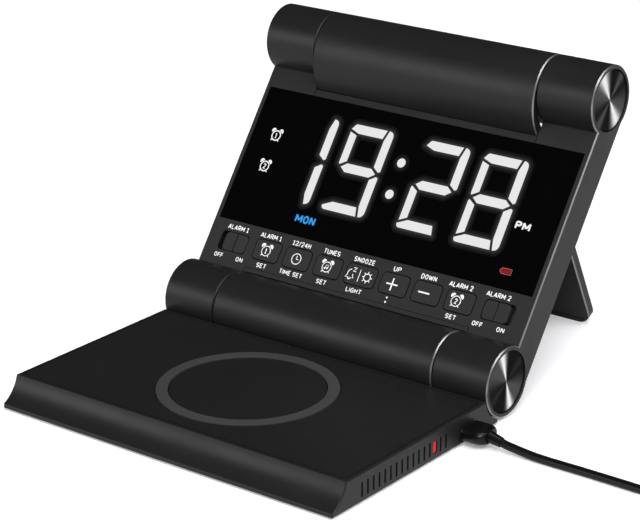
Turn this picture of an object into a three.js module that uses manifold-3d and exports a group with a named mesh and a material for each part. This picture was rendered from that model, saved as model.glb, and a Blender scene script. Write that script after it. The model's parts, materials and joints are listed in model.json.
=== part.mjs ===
// Folding wireless charging alarm clock: charging base, clock panel and rear leg on two barrel hinges.
// Millimetres, +Z up, +X to the user's right, +Y to the back. The base stands on z = 0.
import * as THREE from 'three';
import { mergeVertices } from 'three/addons/utils/BufferGeometryUtils.js';
import Module from 'manifold-3d';

const wasm = await Module();
wasm.setup();

// Overall layout
const WIDTH = 136;
const BARREL_R = 12;
const BARREL_LIFT = 1.4;
const AXIS_SPACING = 99.6;
const PANEL_TILT = THREE.MathUtils.degToRad(54.3);
const LEG_ANGLE = THREE.MathUtils.degToRad(62.4);
const CENTRE_LENGTH = 92;
const ORIGIN_SHIFT_Y = 0.35;

// Clearances
const SEAT_GAP = 0.3;
const SEAM_GAP = 0.4;
const RUN_GAP = 0.4;
const SLOT_GAP = 0.35;

// Base
const BASE_SETBACK = 6.6;
const BASE_REAR_Y = -5;
const BASE_TOP_Z = 10.4;
const BASE_BOTTOM_Z = 0.8;
const BASE_WALL = 2.4;
const BASE_FLOOR = 1.4;
const FRONT_ARC_R = 12.4;
const FRONT_TOP_SETBACK = 6.6;
const TOP_PLATE_T = 1.8;
const TOP_PLATE_MARGIN = 1.4;
const TOP_PLATE_CORNER_R = 2;
const PLATE_LEDGE = 1.1;
const REAR_WALL = 3;
const FOOT_R = 4;
const FOOT_SINK = 0.6;
const FOOT_INSET = 10;
const VENT_COUNT = 16;
const VENT_PITCH = 2.94;
const VENT_FRONT = 14.4;
const VENT_WIDTH = 0.9;
const VENT_HEIGHT = 4.9;
const VENT_Z = 2.5;
const LIGHT_INDEX = 13;
const LIGHT_WIDTH = 1.6;
const LIGHT_HEIGHT = 3.8;

// Charger inside the base
const COIL_R = 22;
const COIL_BORE_R = 10;
const COIL_T = 1;
const FERRITE_MARGIN = 2;
const FERRITE_T = 0.8;
const GRIP_R = 30;
const GRIP_BAND = 4;
const GRIP_T = 1;
const GRIP_PROUD = 0.4;
const BOARD_T = 1.2;
const CHARGER_BOARD_LENGTH = 26;
const CHARGER_BOARD_DEPTH = 34;
const BOARD_POST = 0.8;
const BOARD_POST_R = 1.6;
const SOCKET_WIDTH = 9;
const SOCKET_HEIGHT = 3.2;
const SOCKET_DEPTH = 7.4;
const SOCKET_WALL = 0.4;
const SOCKET_Y = -21.5;

// Hinge hardware
const PIN_R = 3;
const PIN_LENGTH = 24;
const DISC_R = 10.3;
const DISC_T = 1;
const DISC_RECESS = 0.45;
const BARREL_BORE_R = 8;
const BARREL_END_WALL = 14;
const BARREL_TAB_DEPTH = 5;
const BARREL_TAB_T = 2.4;
const BARREL_TAB_WIDTH = 70;
const BARREL_TAB_Z = 5;
const EDGE_BREAK = 0.4;

// Clock panel, with s measured up the panel from the lower axis and n out of its face
const FACE_N = 0.6;
const BACK_N = -11.4;
const FACE_WALL = 2.2;
const SIDE_WALL = 2.2;
const BOTTOM_WALL = 2.2;
const CAVITY_WALL_TOP = 2;
const SCREEN_MARGIN = 1.95;
const SCREEN_RISE = 7.7;
const SCREEN_TOP_MARGIN = 19.7;
const SCREEN_T = 1.2;
const DISPLAY_FRAME = 3;
const DISPLAY_T = 1.6;
const BACK_COVER_T = 1.6;
const BACK_LEDGE = 1.1;
const LIGHT_RIB = 1.2;
const RIB_DEPTH = 3.3;
const KEY_BOARD_T = 1.2;
const SPEAKER_R = 13;
const SPEAKER_T = 4;
const SPEAKER_X = -34;
const SPEAKER_S = 48;
const GRILLE_SLOTS = 5;
const GRILLE_PITCH = 4;
const GRILLE_WIDTH = 1.6;
const CELL_R = 10;
const CELL_T = 3.2;
const CELL_X = 36;
const CELL_S = 48;
const CELL_DOOR_R = 12;
const COLLAR_WALL = 1.2;
const COIN_SLOT_LENGTH = 12;
const COIN_SLOT_WIDTH = 1.8;
const COIN_SLOT_DEPTH = 0.7;
const GROOVE = 0.3;
const STRIP_MARGIN = 1.5;

// Controls
const KEY_ROW_RISE = 6.7;
const KEY_HEIGHT = 7.2;
const SNOOZE_EXTRA = 1.4;
const KEY_SPACE = 2.5;
const KEY_CORNER_R = 1.4;
const KEY_PROUD = 0.15;
const KEY_FLANGE = 0.8;
const KEY_FLANGE_T = 0.9;
const KEY_STEM_R = 1.6;
const KEY_TRAVEL = 0.6;
const SWITCH_INSET = 12;
const SWITCH_SPACE = 3.7;
const SWITCH_SLOT_WIDTH = 12.2;
const SLIDER_WIDTH = 9.9;
const SLIDER_GROOVE = 0.5;

// Rear leg
const FLARE_R = 18;
const LEG_T = 3.4;
const LEG_CORNER_R = 6;
const LEG_FOOT_HEIGHT = 2.4;
const LEG_STOP_GAP = 0.4;

// Cable
const CABLE_R = 1.4;
const PLUG_Z = 4.1;
const PLUG_WIDTH = 11;
const PLUG_HEIGHT = 4.6;
const PLUG_LENGTH = 8;
const PLUG_SHOULDER = 3.6;
const PLUG_NECK_WIDTH = 5.4;
const PLUG_CHAMFER = 0.6;
const TIP_GAP = 0.2;
const TIP_LENGTH = 5.6;
const BOOT_LENGTH = 5;
const BOOT_R = 2.1;
const BOOT_DROOP = THREE.MathUtils.degToRad(11);
const RUN_Z = CABLE_R + 0.05;
const COIL_REACH = 88;
const COIL_ENTRY_Y = -21.3;
const COIL_OUTER_R = 22.8;
const COIL_TURNS = 3.75;
const COIL_PITCH = 3.3;
const COIL_LOW_Z = 2.3;
const COIL_RISE = 3.3;
const COIL_DIP = 1.4;
const COIL_EXIT_R = 31.5;
const COIL_EXIT_Z = 4.3;
const TIE_T = 0.6;
const TIE_WIDTH = 6;
const USB_A_WIDTH = 15.6;
const USB_A_HEIGHT = 8;
const USB_A_LENGTH = 22;
const USB_A_SHELL_WIDTH = 12;
const USB_A_SHELL_HEIGHT = 4.5;
const USB_A_SHELL_LENGTH = 12;
const USB_A_SHELL_WALL = 0.4;
const USB_A_TONGUE = 1.8;
const USB_A_WINDOW = 2.2;
const USB_A_CORNER_R = 2;

// Worked out from the driving sizes
const HALF = WIDTH / 2;
const AXIS_HEIGHT = BARREL_R + BARREL_LIFT;
const BASE_LENGTH = AXIS_SPACING - BASE_SETBACK;
const CENTRE_HALF = CENTRE_LENGTH / 2;
const KNUCKLE_IN = CENTRE_HALF + SEAM_GAP;
const CRADLE_R = BARREL_R + RUN_GAP;
const PIN_BORE_R = PIN_R + SEAT_GAP;
const PIN_CENTRE_X = CENTRE_HALF + SEAM_GAP / 2;
const BORE_DEPTH = PIN_LENGTH / 2 + SEAT_GAP;
const CAVITY_N = FACE_N - FACE_WALL;
const CAVITY_S0 = CRADLE_R + BOTTOM_WALL;
const ROW_S = CAVITY_S0 + KEY_ROW_RISE;
const SCREEN_S0 = ROW_S + SCREEN_RISE;
const SCREEN_S1 = AXIS_SPACING - SCREEN_TOP_MARGIN;
const SCREEN_HALF = HALF - SCREEN_MARGIN;
const STRIP_S = CRADLE_R + STRIP_MARGIN;
const SWITCH_X = HALF - SWITCH_INSET;
const KEY_ROW_HALF = SWITCH_X - SWITCH_SLOT_WIDTH / 2 - SWITCH_SPACE;
const KEY_WIDTH = (2 * KEY_ROW_HALF - 6 * KEY_SPACE - SNOOZE_EXTRA) / 7;
const KEY_WIDE = KEY_WIDTH + SNOOZE_EXTRA;
const SCREEN_FLOOR_N = FACE_N - SCREEN_T - SEAT_GAP;
const FLARE_CENTRE = new THREE.Vector2(Math.sin(LEG_ANGLE), Math.cos(LEG_ANGLE))
  .multiplyScalar(BARREL_R - FLARE_R);
const LEG_FRONT = FLARE_CENTRE.y + FLARE_R;
const LEG_REAR = LEG_FRONT - LEG_T;
const NOTCH_PLANE = LEG_FRONT + LEG_STOP_GAP;
const PLATE_TOP_Z = BASE_TOP_Z;
const PLATE_UNDER_Z = BASE_TOP_Z - TOP_PLATE_T;
const FLOOR_Z = BASE_BOTTOM_Z + BASE_FLOOR;
const FRONT_TOP_Y = FRONT_TOP_SETBACK - BASE_LENGTH;
const REAR_TOP_Y = -Math.sqrt(CRADLE_R ** 2 - (AXIS_HEIGHT - BASE_TOP_Z) ** 2);

// Geometry helpers
function toSolid(geometry) {
  const plain = geometry.clone();
  plain.deleteAttribute('normal');
  plain.deleteAttribute('uv');
  const merged = mergeVertices(plain, 1e-4);
  const mesh = new wasm.Mesh({
    numProp: 3,
    vertProperties: new Float32Array(merged.attributes.position.array),
    triVerts: new Uint32Array(merged.index.array),
  });
  return new wasm.Manifold(mesh);
}

function toGeometry(solid) {
  const mesh = solid.getMesh();
  const geometry = new THREE.BufferGeometry();
  geometry.setAttribute('position', new THREE.BufferAttribute(new Float32Array(mesh.vertProperties), 3));
  geometry.setIndex(new THREE.BufferAttribute(new Uint32Array(mesh.triVerts), 1));
  geometry.computeVertexNormals();
  return geometry;
}

const joined = (first, ...rest) => rest.reduce((solid, next) => solid.add(next), first);
const cut = (first, ...rest) => rest.reduce((solid, next) => solid.subtract(next), first);

function block(x0, x1, y0, y1, z0, z1) {
  const geometry = new THREE.BoxGeometry(x1 - x0, y1 - y0, z1 - z0);
  geometry.translate((x0 + x1) / 2, (y0 + y1) / 2, (z0 + z1) / 2);
  return toSolid(geometry);
}

// A profile drawn in (y, z), extruded along X from x0 to x1, with its end edges broken by a chamfer
function alongX(shape, x0, x1, curveSegments = 12, chamfer = 0) {
  const geometry = new THREE.ExtrudeGeometry(shape, {
    depth: x1 - x0 - 2 * chamfer,
    bevelEnabled: chamfer > 0,
    bevelThickness: chamfer,
    bevelSize: chamfer,
    bevelOffset: -chamfer,
    bevelSegments: 1,
    curveSegments,
  });
  geometry.translate(0, 0, chamfer);
  const basis = new THREE.Matrix4().makeBasis(
    new THREE.Vector3(0, 1, 0),
    new THREE.Vector3(0, 0, 1),
    new THREE.Vector3(1, 0, 0),
  );
  geometry.applyMatrix4(basis);
  geometry.translate(x0, 0, 0);
  return toSolid(geometry);
}

// An outline drawn in (x, y), extruded along Z from z0 to z1
function alongZ(shape, z0, z1, curveSegments = 4) {
  const geometry = new THREE.ExtrudeGeometry(shape, { depth: z1 - z0, bevelEnabled: false, curveSegments });
  geometry.translate(0, 0, z0);
  return toSolid(geometry);
}

function rodX(radius, x0, x1, y, z, sides = 48) {
  const geometry = new THREE.CylinderGeometry(radius, radius, x1 - x0, sides);
  geometry.rotateZ(-Math.PI / 2);
  geometry.translate((x0 + x1) / 2, y, z);
  return toSolid(geometry);
}

function rodZ(radius, x, y, z0, z1, sides = 32) {
  const geometry = new THREE.CylinderGeometry(radius, radius, z1 - z0, sides);
  geometry.rotateX(Math.PI / 2);
  geometry.translate(x, y, (z0 + z1) / 2);
  return toSolid(geometry);
}

// A body of revolution about X: profile points are (radius, x) and close on themselves
function turnedX(profile, y, z, sides = 48) {
  const points = profile.map(([radius, x]) => new THREE.Vector2(radius, x));
  points.push(points[0].clone());
  const geometry = new THREE.LatheGeometry(points, sides);
  geometry.rotateZ(-Math.PI / 2);
  geometry.translate(0, y, z);
  return toSolid(geometry);
}

function roundedRect(width, height, radius, cx = 0, cy = 0) {
  const shape = new THREE.Shape();
  const right = cx + width / 2 - radius;
  const left = cx - width / 2 + radius;
  const top = cy + height / 2 - radius;
  const bottom = cy - height / 2 + radius;
  shape.absarc(right, top, radius, 0, Math.PI / 2, false);
  shape.absarc(left, top, radius, Math.PI / 2, Math.PI, false);
  shape.absarc(left, bottom, radius, Math.PI, Math.PI * 1.5, false);
  shape.absarc(right, bottom, radius, Math.PI * 1.5, Math.PI * 2, false);
  shape.closePath();
  return shape;
}

const finishes = {
  shell: { color: 0x232425, roughness: 0.5, metalness: 0 },
  gloss: { color: 0x050506, roughness: 0.08, metalness: 0 },
  key: { color: 0x252627, roughness: 0.55, metalness: 0 },
  rubber: { color: 0x151515, roughness: 0.9, metalness: 0 },
  silicone: { color: 0x2c2d2f, roughness: 0.8, metalness: 0 },
  brushed: { color: 0x8f9092, roughness: 0.3, metalness: 1 },
  steel: { color: 0xb9babb, roughness: 0.3, metalness: 1 },
  copper: { color: 0xb5703a, roughness: 0.4, metalness: 1 },
  ferrite: { color: 0x38393b, roughness: 0.8, metalness: 0 },
  board: { color: 0x1c5a35, roughness: 0.6, metalness: 0 },
  light: { color: 0xe02818, roughness: 0.3, metalness: 0 },
  cable: { color: 0x121212, roughness: 0.6, metalness: 0 },
};

function addPart(group, name, solid, finish) {
  const mesh = new THREE.Mesh(toGeometry(solid), new THREE.MeshStandardMaterial(finishes[finish]));
  mesh.name = name;
  group.add(mesh);
}

// Charging base
const baseGroup = new THREE.Group();

function baseProfile() {
  const shape = new THREE.Shape();
  const foldedZ = AXIS_HEIGHT;
  const frontArcY = FRONT_TOP_Y - Math.sqrt(FRONT_ARC_R ** 2 - (BASE_TOP_Z - foldedZ) ** 2);
  const lipZ = foldedZ - Math.sqrt(FRONT_ARC_R ** 2 - (-BASE_LENGTH - frontArcY) ** 2);
  shape.moveTo(-BASE_LENGTH, BASE_BOTTOM_Z);
  shape.lineTo(BASE_REAR_Y, BASE_BOTTOM_Z);
  const rearZ = AXIS_HEIGHT - Math.sqrt(CRADLE_R ** 2 - BASE_REAR_Y ** 2);
  const rearStart = Math.atan2(rearZ - AXIS_HEIGHT, BASE_REAR_Y);
  const rearEnd = Math.atan2(BASE_TOP_Z - AXIS_HEIGHT, REAR_TOP_Y);
  shape.absarc(0, AXIS_HEIGHT, CRADLE_R, rearStart, rearEnd, true);
  const frontStart = Math.atan2(BASE_TOP_Z - foldedZ, FRONT_TOP_Y - frontArcY);
  const frontEnd = Math.atan2(lipZ - foldedZ, -BASE_LENGTH - frontArcY);
  shape.absarc(frontArcY, foldedZ, FRONT_ARC_R, frontStart, frontEnd, true);
  shape.closePath();
  return shape;
}

const plateX = HALF - TOP_PLATE_MARGIN;
const plateY0 = FRONT_TOP_Y + TOP_PLATE_MARGIN;
const plateY1 = REAR_TOP_Y - TOP_PLATE_MARGIN;
const plateCentreY = (plateY0 + plateY1) / 2;
const padCentreY = plateCentreY;
const ferriteR = COIL_R + FERRITE_MARGIN;
const pocketX = HALF - BASE_WALL;
const pocketY0 = plateY0 + PLATE_LEDGE;
const pocketY1 = plateY1 - REAR_WALL;
const socketZ = PLUG_Z;
const boardUnderZ = FLOOR_Z + BOARD_POST + SEAT_GAP;
const boardX1 = HALF - SOCKET_DEPTH - 2 * SEAT_GAP;
const boardX0 = boardX1 - CHARGER_BOARD_LENGTH;
const boardY1 = pocketY1 - SEAT_GAP;
const boardY0 = boardY1 - CHARGER_BOARD_DEPTH;
const footPlaces = [];
for (const [side, sideName] of [[-1, 'left'], [1, 'right']]) {
  footPlaces.push([side * (HALF - FOOT_INSET), FOOT_INSET - BASE_LENGTH, `foot_front_${sideName}`]);
  footPlaces.push([side * (HALF - FOOT_INSET), BASE_REAR_Y - FOOT_INSET, `foot_rear_${sideName}`]);
}
const ventY = (index) => VENT_FRONT - BASE_LENGTH + index * VENT_PITCH;

const lightZ = VENT_Z + VENT_HEIGHT / 2;
function lightOutline(gap) {
  const corner = LIGHT_WIDTH / 2 - 0.1 + gap;
  return roundedRect(LIGHT_WIDTH + 2 * gap, LIGHT_HEIGHT + 2 * gap, corner, ventY(LIGHT_INDEX), lightZ);
}

function makeTray() {
  let tray = alongX(baseProfile(), -HALF, HALF, 10, EDGE_BREAK);
  const recess = roundedRect(2 * plateX, plateY1 - plateY0, TOP_PLATE_CORNER_R, 0, plateCentreY);
  tray = cut(tray, alongZ(recess, PLATE_UNDER_Z - SEAT_GAP, BASE_TOP_Z + 1));
  tray = cut(tray, block(-pocketX, pocketX, pocketY0, pocketY1, FLOOR_Z, BASE_TOP_Z + 1));
  const tabHalf = BARREL_TAB_WIDTH / 2 + SLOT_GAP;
  const tabZ0 = BARREL_TAB_Z - SLOT_GAP;
  const tabZ1 = BARREL_TAB_Z + BARREL_TAB_T + SLOT_GAP;
  tray = cut(tray, block(-tabHalf, tabHalf, pocketY1 - 1, BASE_REAR_Y, tabZ0, tabZ1));
  for (const [x, y] of footPlaces) {
    tray = cut(tray, rodZ(FOOT_R + SLOT_GAP, x, y, 0, BASE_BOTTOM_Z + FOOT_SINK + SEAT_GAP));
  }
  for (let index = 0; index < VENT_COUNT; index += 1) {
    const y0 = ventY(index) - VENT_WIDTH / 2;
    const y1 = ventY(index) + VENT_WIDTH / 2;
    const wallX = pocketX - 1;
    tray = cut(tray, block(-HALF - 1, -wallX, y0, y1, VENT_Z, VENT_Z + VENT_HEIGHT));
    if (index === LIGHT_INDEX) tray = cut(tray, alongX(lightOutline(SEAT_GAP), wallX, HALF + 1, 4));
    else tray = cut(tray, block(wallX, HALF + 1, y0, y1, VENT_Z, VENT_Z + VENT_HEIGHT));
  }
  const socketHole = roundedRect(SOCKET_WIDTH + 2 * SEAT_GAP, SOCKET_HEIGHT + 2 * SEAT_GAP,
    SOCKET_HEIGHT / 2, SOCKET_Y, socketZ);
  tray = cut(tray, alongX(socketHole, pocketX - 1, HALF + 1, 5));
  for (const x of [boardX0 + 3, boardX1 - 3]) {
    for (const y of [boardY0 + 3, boardY1 - 3]) {
      tray = joined(tray, rodZ(BOARD_POST_R, x, y, FLOOR_Z - BOARD_POST / 2, FLOOR_Z + BOARD_POST, 12));
    }
  }
  return tray;
}

function makeTopPlate() {
  const outline = roundedRect(2 * (plateX - SLOT_GAP), plateY1 - plateY0 - 2 * SLOT_GAP,
    TOP_PLATE_CORNER_R - SLOT_GAP / 2, 0, plateCentreY);
  const plate = alongZ(outline, PLATE_UNDER_Z, PLATE_TOP_Z);
  const groove = cut(
    rodZ(GRIP_R + SEAT_GAP, 0, padCentreY, PLATE_TOP_Z - GRIP_T + GRIP_PROUD - SEAT_GAP, PLATE_TOP_Z + 1, 48),
    rodZ(GRIP_R - GRIP_BAND - SEAT_GAP, 0, padCentreY, 0, PLATE_TOP_Z + 2, 48),
  );
  return cut(plate, groove);
}

function ring(outer, inner, y, z0, z1) {
  return cut(rodZ(outer, 0, y, z0, z1, 48), rodZ(inner, 0, y, z0 - 1, z1 + 1, 48));
}

function makeSocket() {
  const outer = roundedRect(SOCKET_WIDTH, SOCKET_HEIGHT, SOCKET_HEIGHT / 2 - 0.01, SOCKET_Y, socketZ);
  const hole = roundedRect(SOCKET_WIDTH - 2 * SOCKET_WALL, SOCKET_HEIGHT - 2 * SOCKET_WALL,
    SOCKET_HEIGHT / 2 - SOCKET_WALL - 0.01, SOCKET_Y, socketZ);
  const mouthX = HALF - SEAT_GAP;
  return cut(
    alongX(outer, mouthX - SOCKET_DEPTH, mouthX, 5),
    alongX(hole, mouthX - SOCKET_DEPTH + 1, mouthX + 1, 5),
  );
}

function makeHingeBarrel() {
  const bore = PIN_BORE_R;
  const wallX = CENTRE_HALF - BARREL_END_WALL;
  const profile = [
    [bore, -CENTRE_HALF],
    [BARREL_R - EDGE_BREAK, -CENTRE_HALF],
    [BARREL_R, EDGE_BREAK - CENTRE_HALF],
    [BARREL_R, CENTRE_HALF - EDGE_BREAK],
    [BARREL_R - EDGE_BREAK, CENTRE_HALF],
    [bore, CENTRE_HALF],
    [bore, wallX],
    [BARREL_BORE_R, wallX],
    [BARREL_BORE_R, -wallX],
    [bore, -wallX],
  ];
  const barrel = turnedX(profile, 0, AXIS_HEIGHT);
  const half = BARREL_TAB_WIDTH / 2;
  const tab = block(-half, half, pocketY1 - BARREL_TAB_DEPTH, -BARREL_BORE_R, BARREL_TAB_Z,
    BARREL_TAB_Z + BARREL_TAB_T);
  return joined(barrel, cut(tab, rodX(BARREL_BORE_R + 1, -HALF, HALF, 0, AXIS_HEIGHT)));
}

addPart(baseGroup, 'base_tray', makeTray(), 'shell');
addPart(baseGroup, 'base_top_plate', makeTopPlate(), 'shell');
const gripTop = PLATE_TOP_Z + GRIP_PROUD;
const gripBore = GRIP_R - GRIP_BAND;
addPart(baseGroup, 'grip_ring', ring(GRIP_R, gripBore, padCentreY, gripTop - GRIP_T, gripTop), 'silicone');
const coilTop = PLATE_UNDER_Z - SEAT_GAP;
addPart(baseGroup, 'charge_coil', ring(COIL_R, COIL_BORE_R, padCentreY, coilTop - COIL_T, coilTop), 'copper');
const ferriteTop = coilTop - COIL_T - SEAT_GAP;
const ferriteDisc = rodZ(ferriteR, 0, padCentreY, ferriteTop - FERRITE_T, ferriteTop, 48);
addPart(baseGroup, 'ferrite_disc', ferriteDisc, 'ferrite');
const chargerBoard = block(boardX0, boardX1, boardY0, boardY1, boardUnderZ, boardUnderZ + BOARD_T);
addPart(baseGroup, 'charger_board', chargerBoard, 'board');
addPart(baseGroup, 'usb_socket', makeSocket(), 'steel');
addPart(baseGroup, 'charge_light', alongX(lightOutline(0), pocketX - 1, HALF - SEAT_GAP, 4), 'light');
addPart(baseGroup, 'base_hinge_barrel', makeHingeBarrel(), 'shell');
for (const [x, y, name] of footPlaces) {
  addPart(baseGroup, name, rodZ(FOOT_R, x, y, 0, BASE_BOTTOM_Z + FOOT_SINK, 24), 'rubber');
}

// Clock panel, drawn in (x, s, n) and tilted about the lower axis
const panelGroup = new THREE.Group();
panelGroup.position.set(0, 0, AXIS_HEIGHT);
panelGroup.rotation.x = PANEL_TILT;

const cavityX = HALF - SIDE_WALL;
const notchAtBack = (NOTCH_PLANE + CAVITY_WALL_TOP - Math.cos(LEG_ANGLE) * BACK_N) / Math.sin(LEG_ANGLE);
const cavityS1 = AXIS_SPACING - notchAtBack;
const coverX = cavityX + BACK_LEDGE;
const coverS0 = CAVITY_S0 - BACK_LEDGE;
const coverS1 = cavityS1 + BACK_LEDGE / 2;
const keyCentres = [];
{
  const step = KEY_WIDTH + KEY_SPACE;
  const first = KEY_WIDE / 2 + KEY_SPACE + KEY_WIDTH / 2;
  for (const index of [2, 1, 0]) keyCentres.push([-(first + index * step), KEY_WIDTH]);
  keyCentres.push([0, KEY_WIDE]);
  for (const index of [0, 1, 2]) keyCentres.push([first + index * step, KEY_WIDTH]);
}
const keyNames = ['alarm_1_key', 'time_key', 'tunes_key', 'snooze_key', 'up_key', 'down_key', 'alarm_2_key'];
const slideTravel = SWITCH_SLOT_WIDTH - SLIDER_WIDTH - 2 * SEAT_GAP;
const slotOutline = (x) => roundedRect(SWITCH_SLOT_WIDTH, KEY_HEIGHT, KEY_CORNER_R, x, ROW_S);
const ribBottomN = CAVITY_N - RIB_DEPTH;

function makeKnuckle(side, s) {
  const x0 = Math.min(side * KNUCKLE_IN, side * HALF);
  const x1 = Math.max(side * KNUCKLE_IN, side * HALF);
  const circle = new THREE.Shape();
  circle.absarc(s, 0, BARREL_R, 0, Math.PI * 2, false);
  return alongX(circle, x0, x1, 22, EDGE_BREAK);
}

function makeHousing() {
  const slab = new THREE.Shape();
  slab.moveTo(0, BACK_N);
  slab.lineTo(AXIS_SPACING, BACK_N);
  slab.lineTo(AXIS_SPACING, FACE_N);
  slab.lineTo(0, FACE_N);
  slab.closePath();
  let housing = alongX(slab, -HALF, HALF, 1, EDGE_BREAK);
  const centre = KNUCKLE_IN;
  housing = cut(housing, rodX(CRADLE_R, -centre, centre, 0, 0, 44));
  const notch = new THREE.BoxGeometry(2 * centre, 2 * AXIS_SPACING, 2 * AXIS_SPACING);
  notch.translate(0, 0, NOTCH_PLANE - AXIS_SPACING);
  notch.rotateX(LEG_ANGLE);
  notch.translate(0, AXIS_SPACING, 0);
  housing = cut(housing, toSolid(notch));
  for (const s of [0, AXIS_SPACING]) {
    for (const side of [-1, 1]) {
      housing = joined(housing, makeKnuckle(side, s));
    }
  }
  housing = cut(housing, block(-cavityX, cavityX, CAVITY_S0, cavityS1, BACK_N - 1, CAVITY_N));
  const ledgeN = BACK_N + BACK_COVER_T + SEAT_GAP;
  housing = cut(housing, block(-coverX, coverX, coverS0, coverS1, BACK_N - 1, ledgeN));
  const screenX = SCREEN_HALF;
  housing = cut(housing, block(-screenX, screenX, SCREEN_S0, SCREEN_S1, SCREEN_FLOOR_N, FACE_N + 1));
  const openX = screenX - DISPLAY_FRAME;
  const openS0 = SCREEN_S0 + DISPLAY_FRAME;
  housing = cut(housing, block(-openX, openX, openS0, cavityS1 - DISPLAY_FRAME, CAVITY_N - 1, 0));
  const ribS = SCREEN_S0 - LIGHT_RIB;
  housing = joined(
    housing,
    block(-cavityX - 0.1, cavityX + 0.1, ribS, SCREEN_S0, ribBottomN, CAVITY_N + 0.1),
    block(-cavityX - 0.1, cavityX + 0.1, CAVITY_S0 - 0.1, CAVITY_S0 + LIGHT_RIB, ribBottomN, CAVITY_N + 0.1),
  );
  for (const [x, width] of keyCentres) {
    const holeHeight = KEY_HEIGHT + 2 * SLOT_GAP;
    const hole = roundedRect(width + 2 * SLOT_GAP, holeHeight, KEY_CORNER_R + SLOT_GAP, x, ROW_S);
    housing = cut(housing, alongZ(hole, CAVITY_N - 1, FACE_N + 1, 3));
  }
  for (const x of [-SWITCH_X, SWITCH_X]) {
    housing = cut(housing, alongZ(slotOutline(x), CAVITY_N - 1, FACE_N + 1, 3));
  }
  for (const s of [0, AXIS_SPACING]) {
    for (const side of [-1, 1]) {
      const boreEnd = side * (PIN_CENTRE_X + BORE_DEPTH);
      const x0 = Math.min(side * (centre - 1), boreEnd);
      const x1 = Math.max(side * (centre - 1), boreEnd);
      housing = cut(housing, rodX(PIN_BORE_R, x0, x1, s, 0, 16));
      const floorX = side * (HALF - DISC_RECESS - DISC_T - SEAT_GAP);
      const mouthX = side * (HALF + 1);
      const seatX0 = Math.min(floorX, mouthX);
      const seatX1 = Math.max(floorX, mouthX);
      housing = cut(housing, rodX(DISC_R + SEAT_GAP, seatX0, seatX1, s, 0, 44));
    }
  }
  const stripX = KNUCKLE_IN + 1;
  const grooveFloor = FACE_N - GROOVE;
  housing = cut(
    housing,
    block(-stripX, stripX, STRIP_S - GROOVE / 2, STRIP_S + GROOVE / 2, grooveFloor, FACE_N + 1),
    block(-stripX - GROOVE / 2, GROOVE / 2 - stripX, CRADLE_R - 1, STRIP_S, grooveFloor, FACE_N + 1),
    block(stripX - GROOVE / 2, stripX + GROOVE / 2, CRADLE_R - 1, STRIP_S, grooveFloor, FACE_N + 1),
  );
  for (const side of [-1, 1]) {
    const x = side * KNUCKLE_IN;
    const seamS1 = AXIS_SPACING - BARREL_R;
    const seam = block(x - GROOVE / 2, x + GROOVE / 2, SCREEN_S1, seamS1, grooveFloor, FACE_N + 1);
    housing = cut(housing, seam);
  }
  return housing;
}

function makeBackCover() {
  const gap = SLOT_GAP;
  let cover = block(-coverX + gap, coverX - gap, coverS0 + gap, coverS1 - gap, BACK_N, BACK_N + BACK_COVER_T);
  const collarTop = BACK_N + BACK_COVER_T + SEAT_GAP + CELL_T;
  cover = joined(cover, rodZ(CELL_DOOR_R + COLLAR_WALL, CELL_X, CELL_S, BACK_N + 0.5, collarTop, 40));
  cover = cut(cover, rodZ(CELL_DOOR_R + gap, CELL_X, CELL_S, BACK_N - 1, BACK_N + BACK_COVER_T, 40));
  cover = cut(cover, rodZ(CELL_R + SEAT_GAP, CELL_X, CELL_S, BACK_N, collarTop + 1, 40));
  const middle = (GRILLE_SLOTS - 1) / 2;
  for (let index = 0; index < GRILLE_SLOTS; index += 1) {
    const offset = (index - middle) * GRILLE_PITCH;
    const reach = Math.sqrt((SPEAKER_R - 2) ** 2 - offset ** 2);
    const slotEnd = GRILLE_WIDTH / 2 - 0.01;
    const slot = roundedRect(2 * reach, GRILLE_WIDTH, slotEnd, SPEAKER_X, SPEAKER_S + offset);
    cover = cut(cover, alongZ(slot, BACK_N - 1, BACK_N + BACK_COVER_T + 1, 3));
  }
  return cover;
}

function makeCellDoor() {
  const door = rodZ(CELL_DOOR_R, CELL_X, CELL_S, BACK_N, BACK_N + BACK_COVER_T - SEAT_GAP, 40);
  const slotEnd = COIN_SLOT_WIDTH / 2 - 0.01;
  const slot = roundedRect(COIN_SLOT_LENGTH, COIN_SLOT_WIDTH, slotEnd, CELL_X, CELL_S);
  return cut(door, alongZ(slot, BACK_N - 1, BACK_N + COIN_SLOT_DEPTH, 4));
}

function makeKey(x, width) {
  const cap = roundedRect(width, KEY_HEIGHT, KEY_CORNER_R, x, ROW_S);
  const flange = roundedRect(width + 2 * KEY_FLANGE, KEY_HEIGHT + 2 * KEY_FLANGE, KEY_CORNER_R, x, ROW_S);
  const flangeTop = CAVITY_N - SEAT_GAP;
  const stemBottom = ribBottomN - SEAT_GAP + KEY_TRAVEL + SEAT_GAP;
  return joined(
    alongZ(cap, flangeTop - 0.1, FACE_N + KEY_PROUD, 3),
    alongZ(flange, flangeTop - KEY_FLANGE_T, flangeTop, 3),
    rodZ(KEY_STEM_R, x, ROW_S, stemBottom, flangeTop - KEY_FLANGE_T + 0.1, 16),
  );
}

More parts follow.
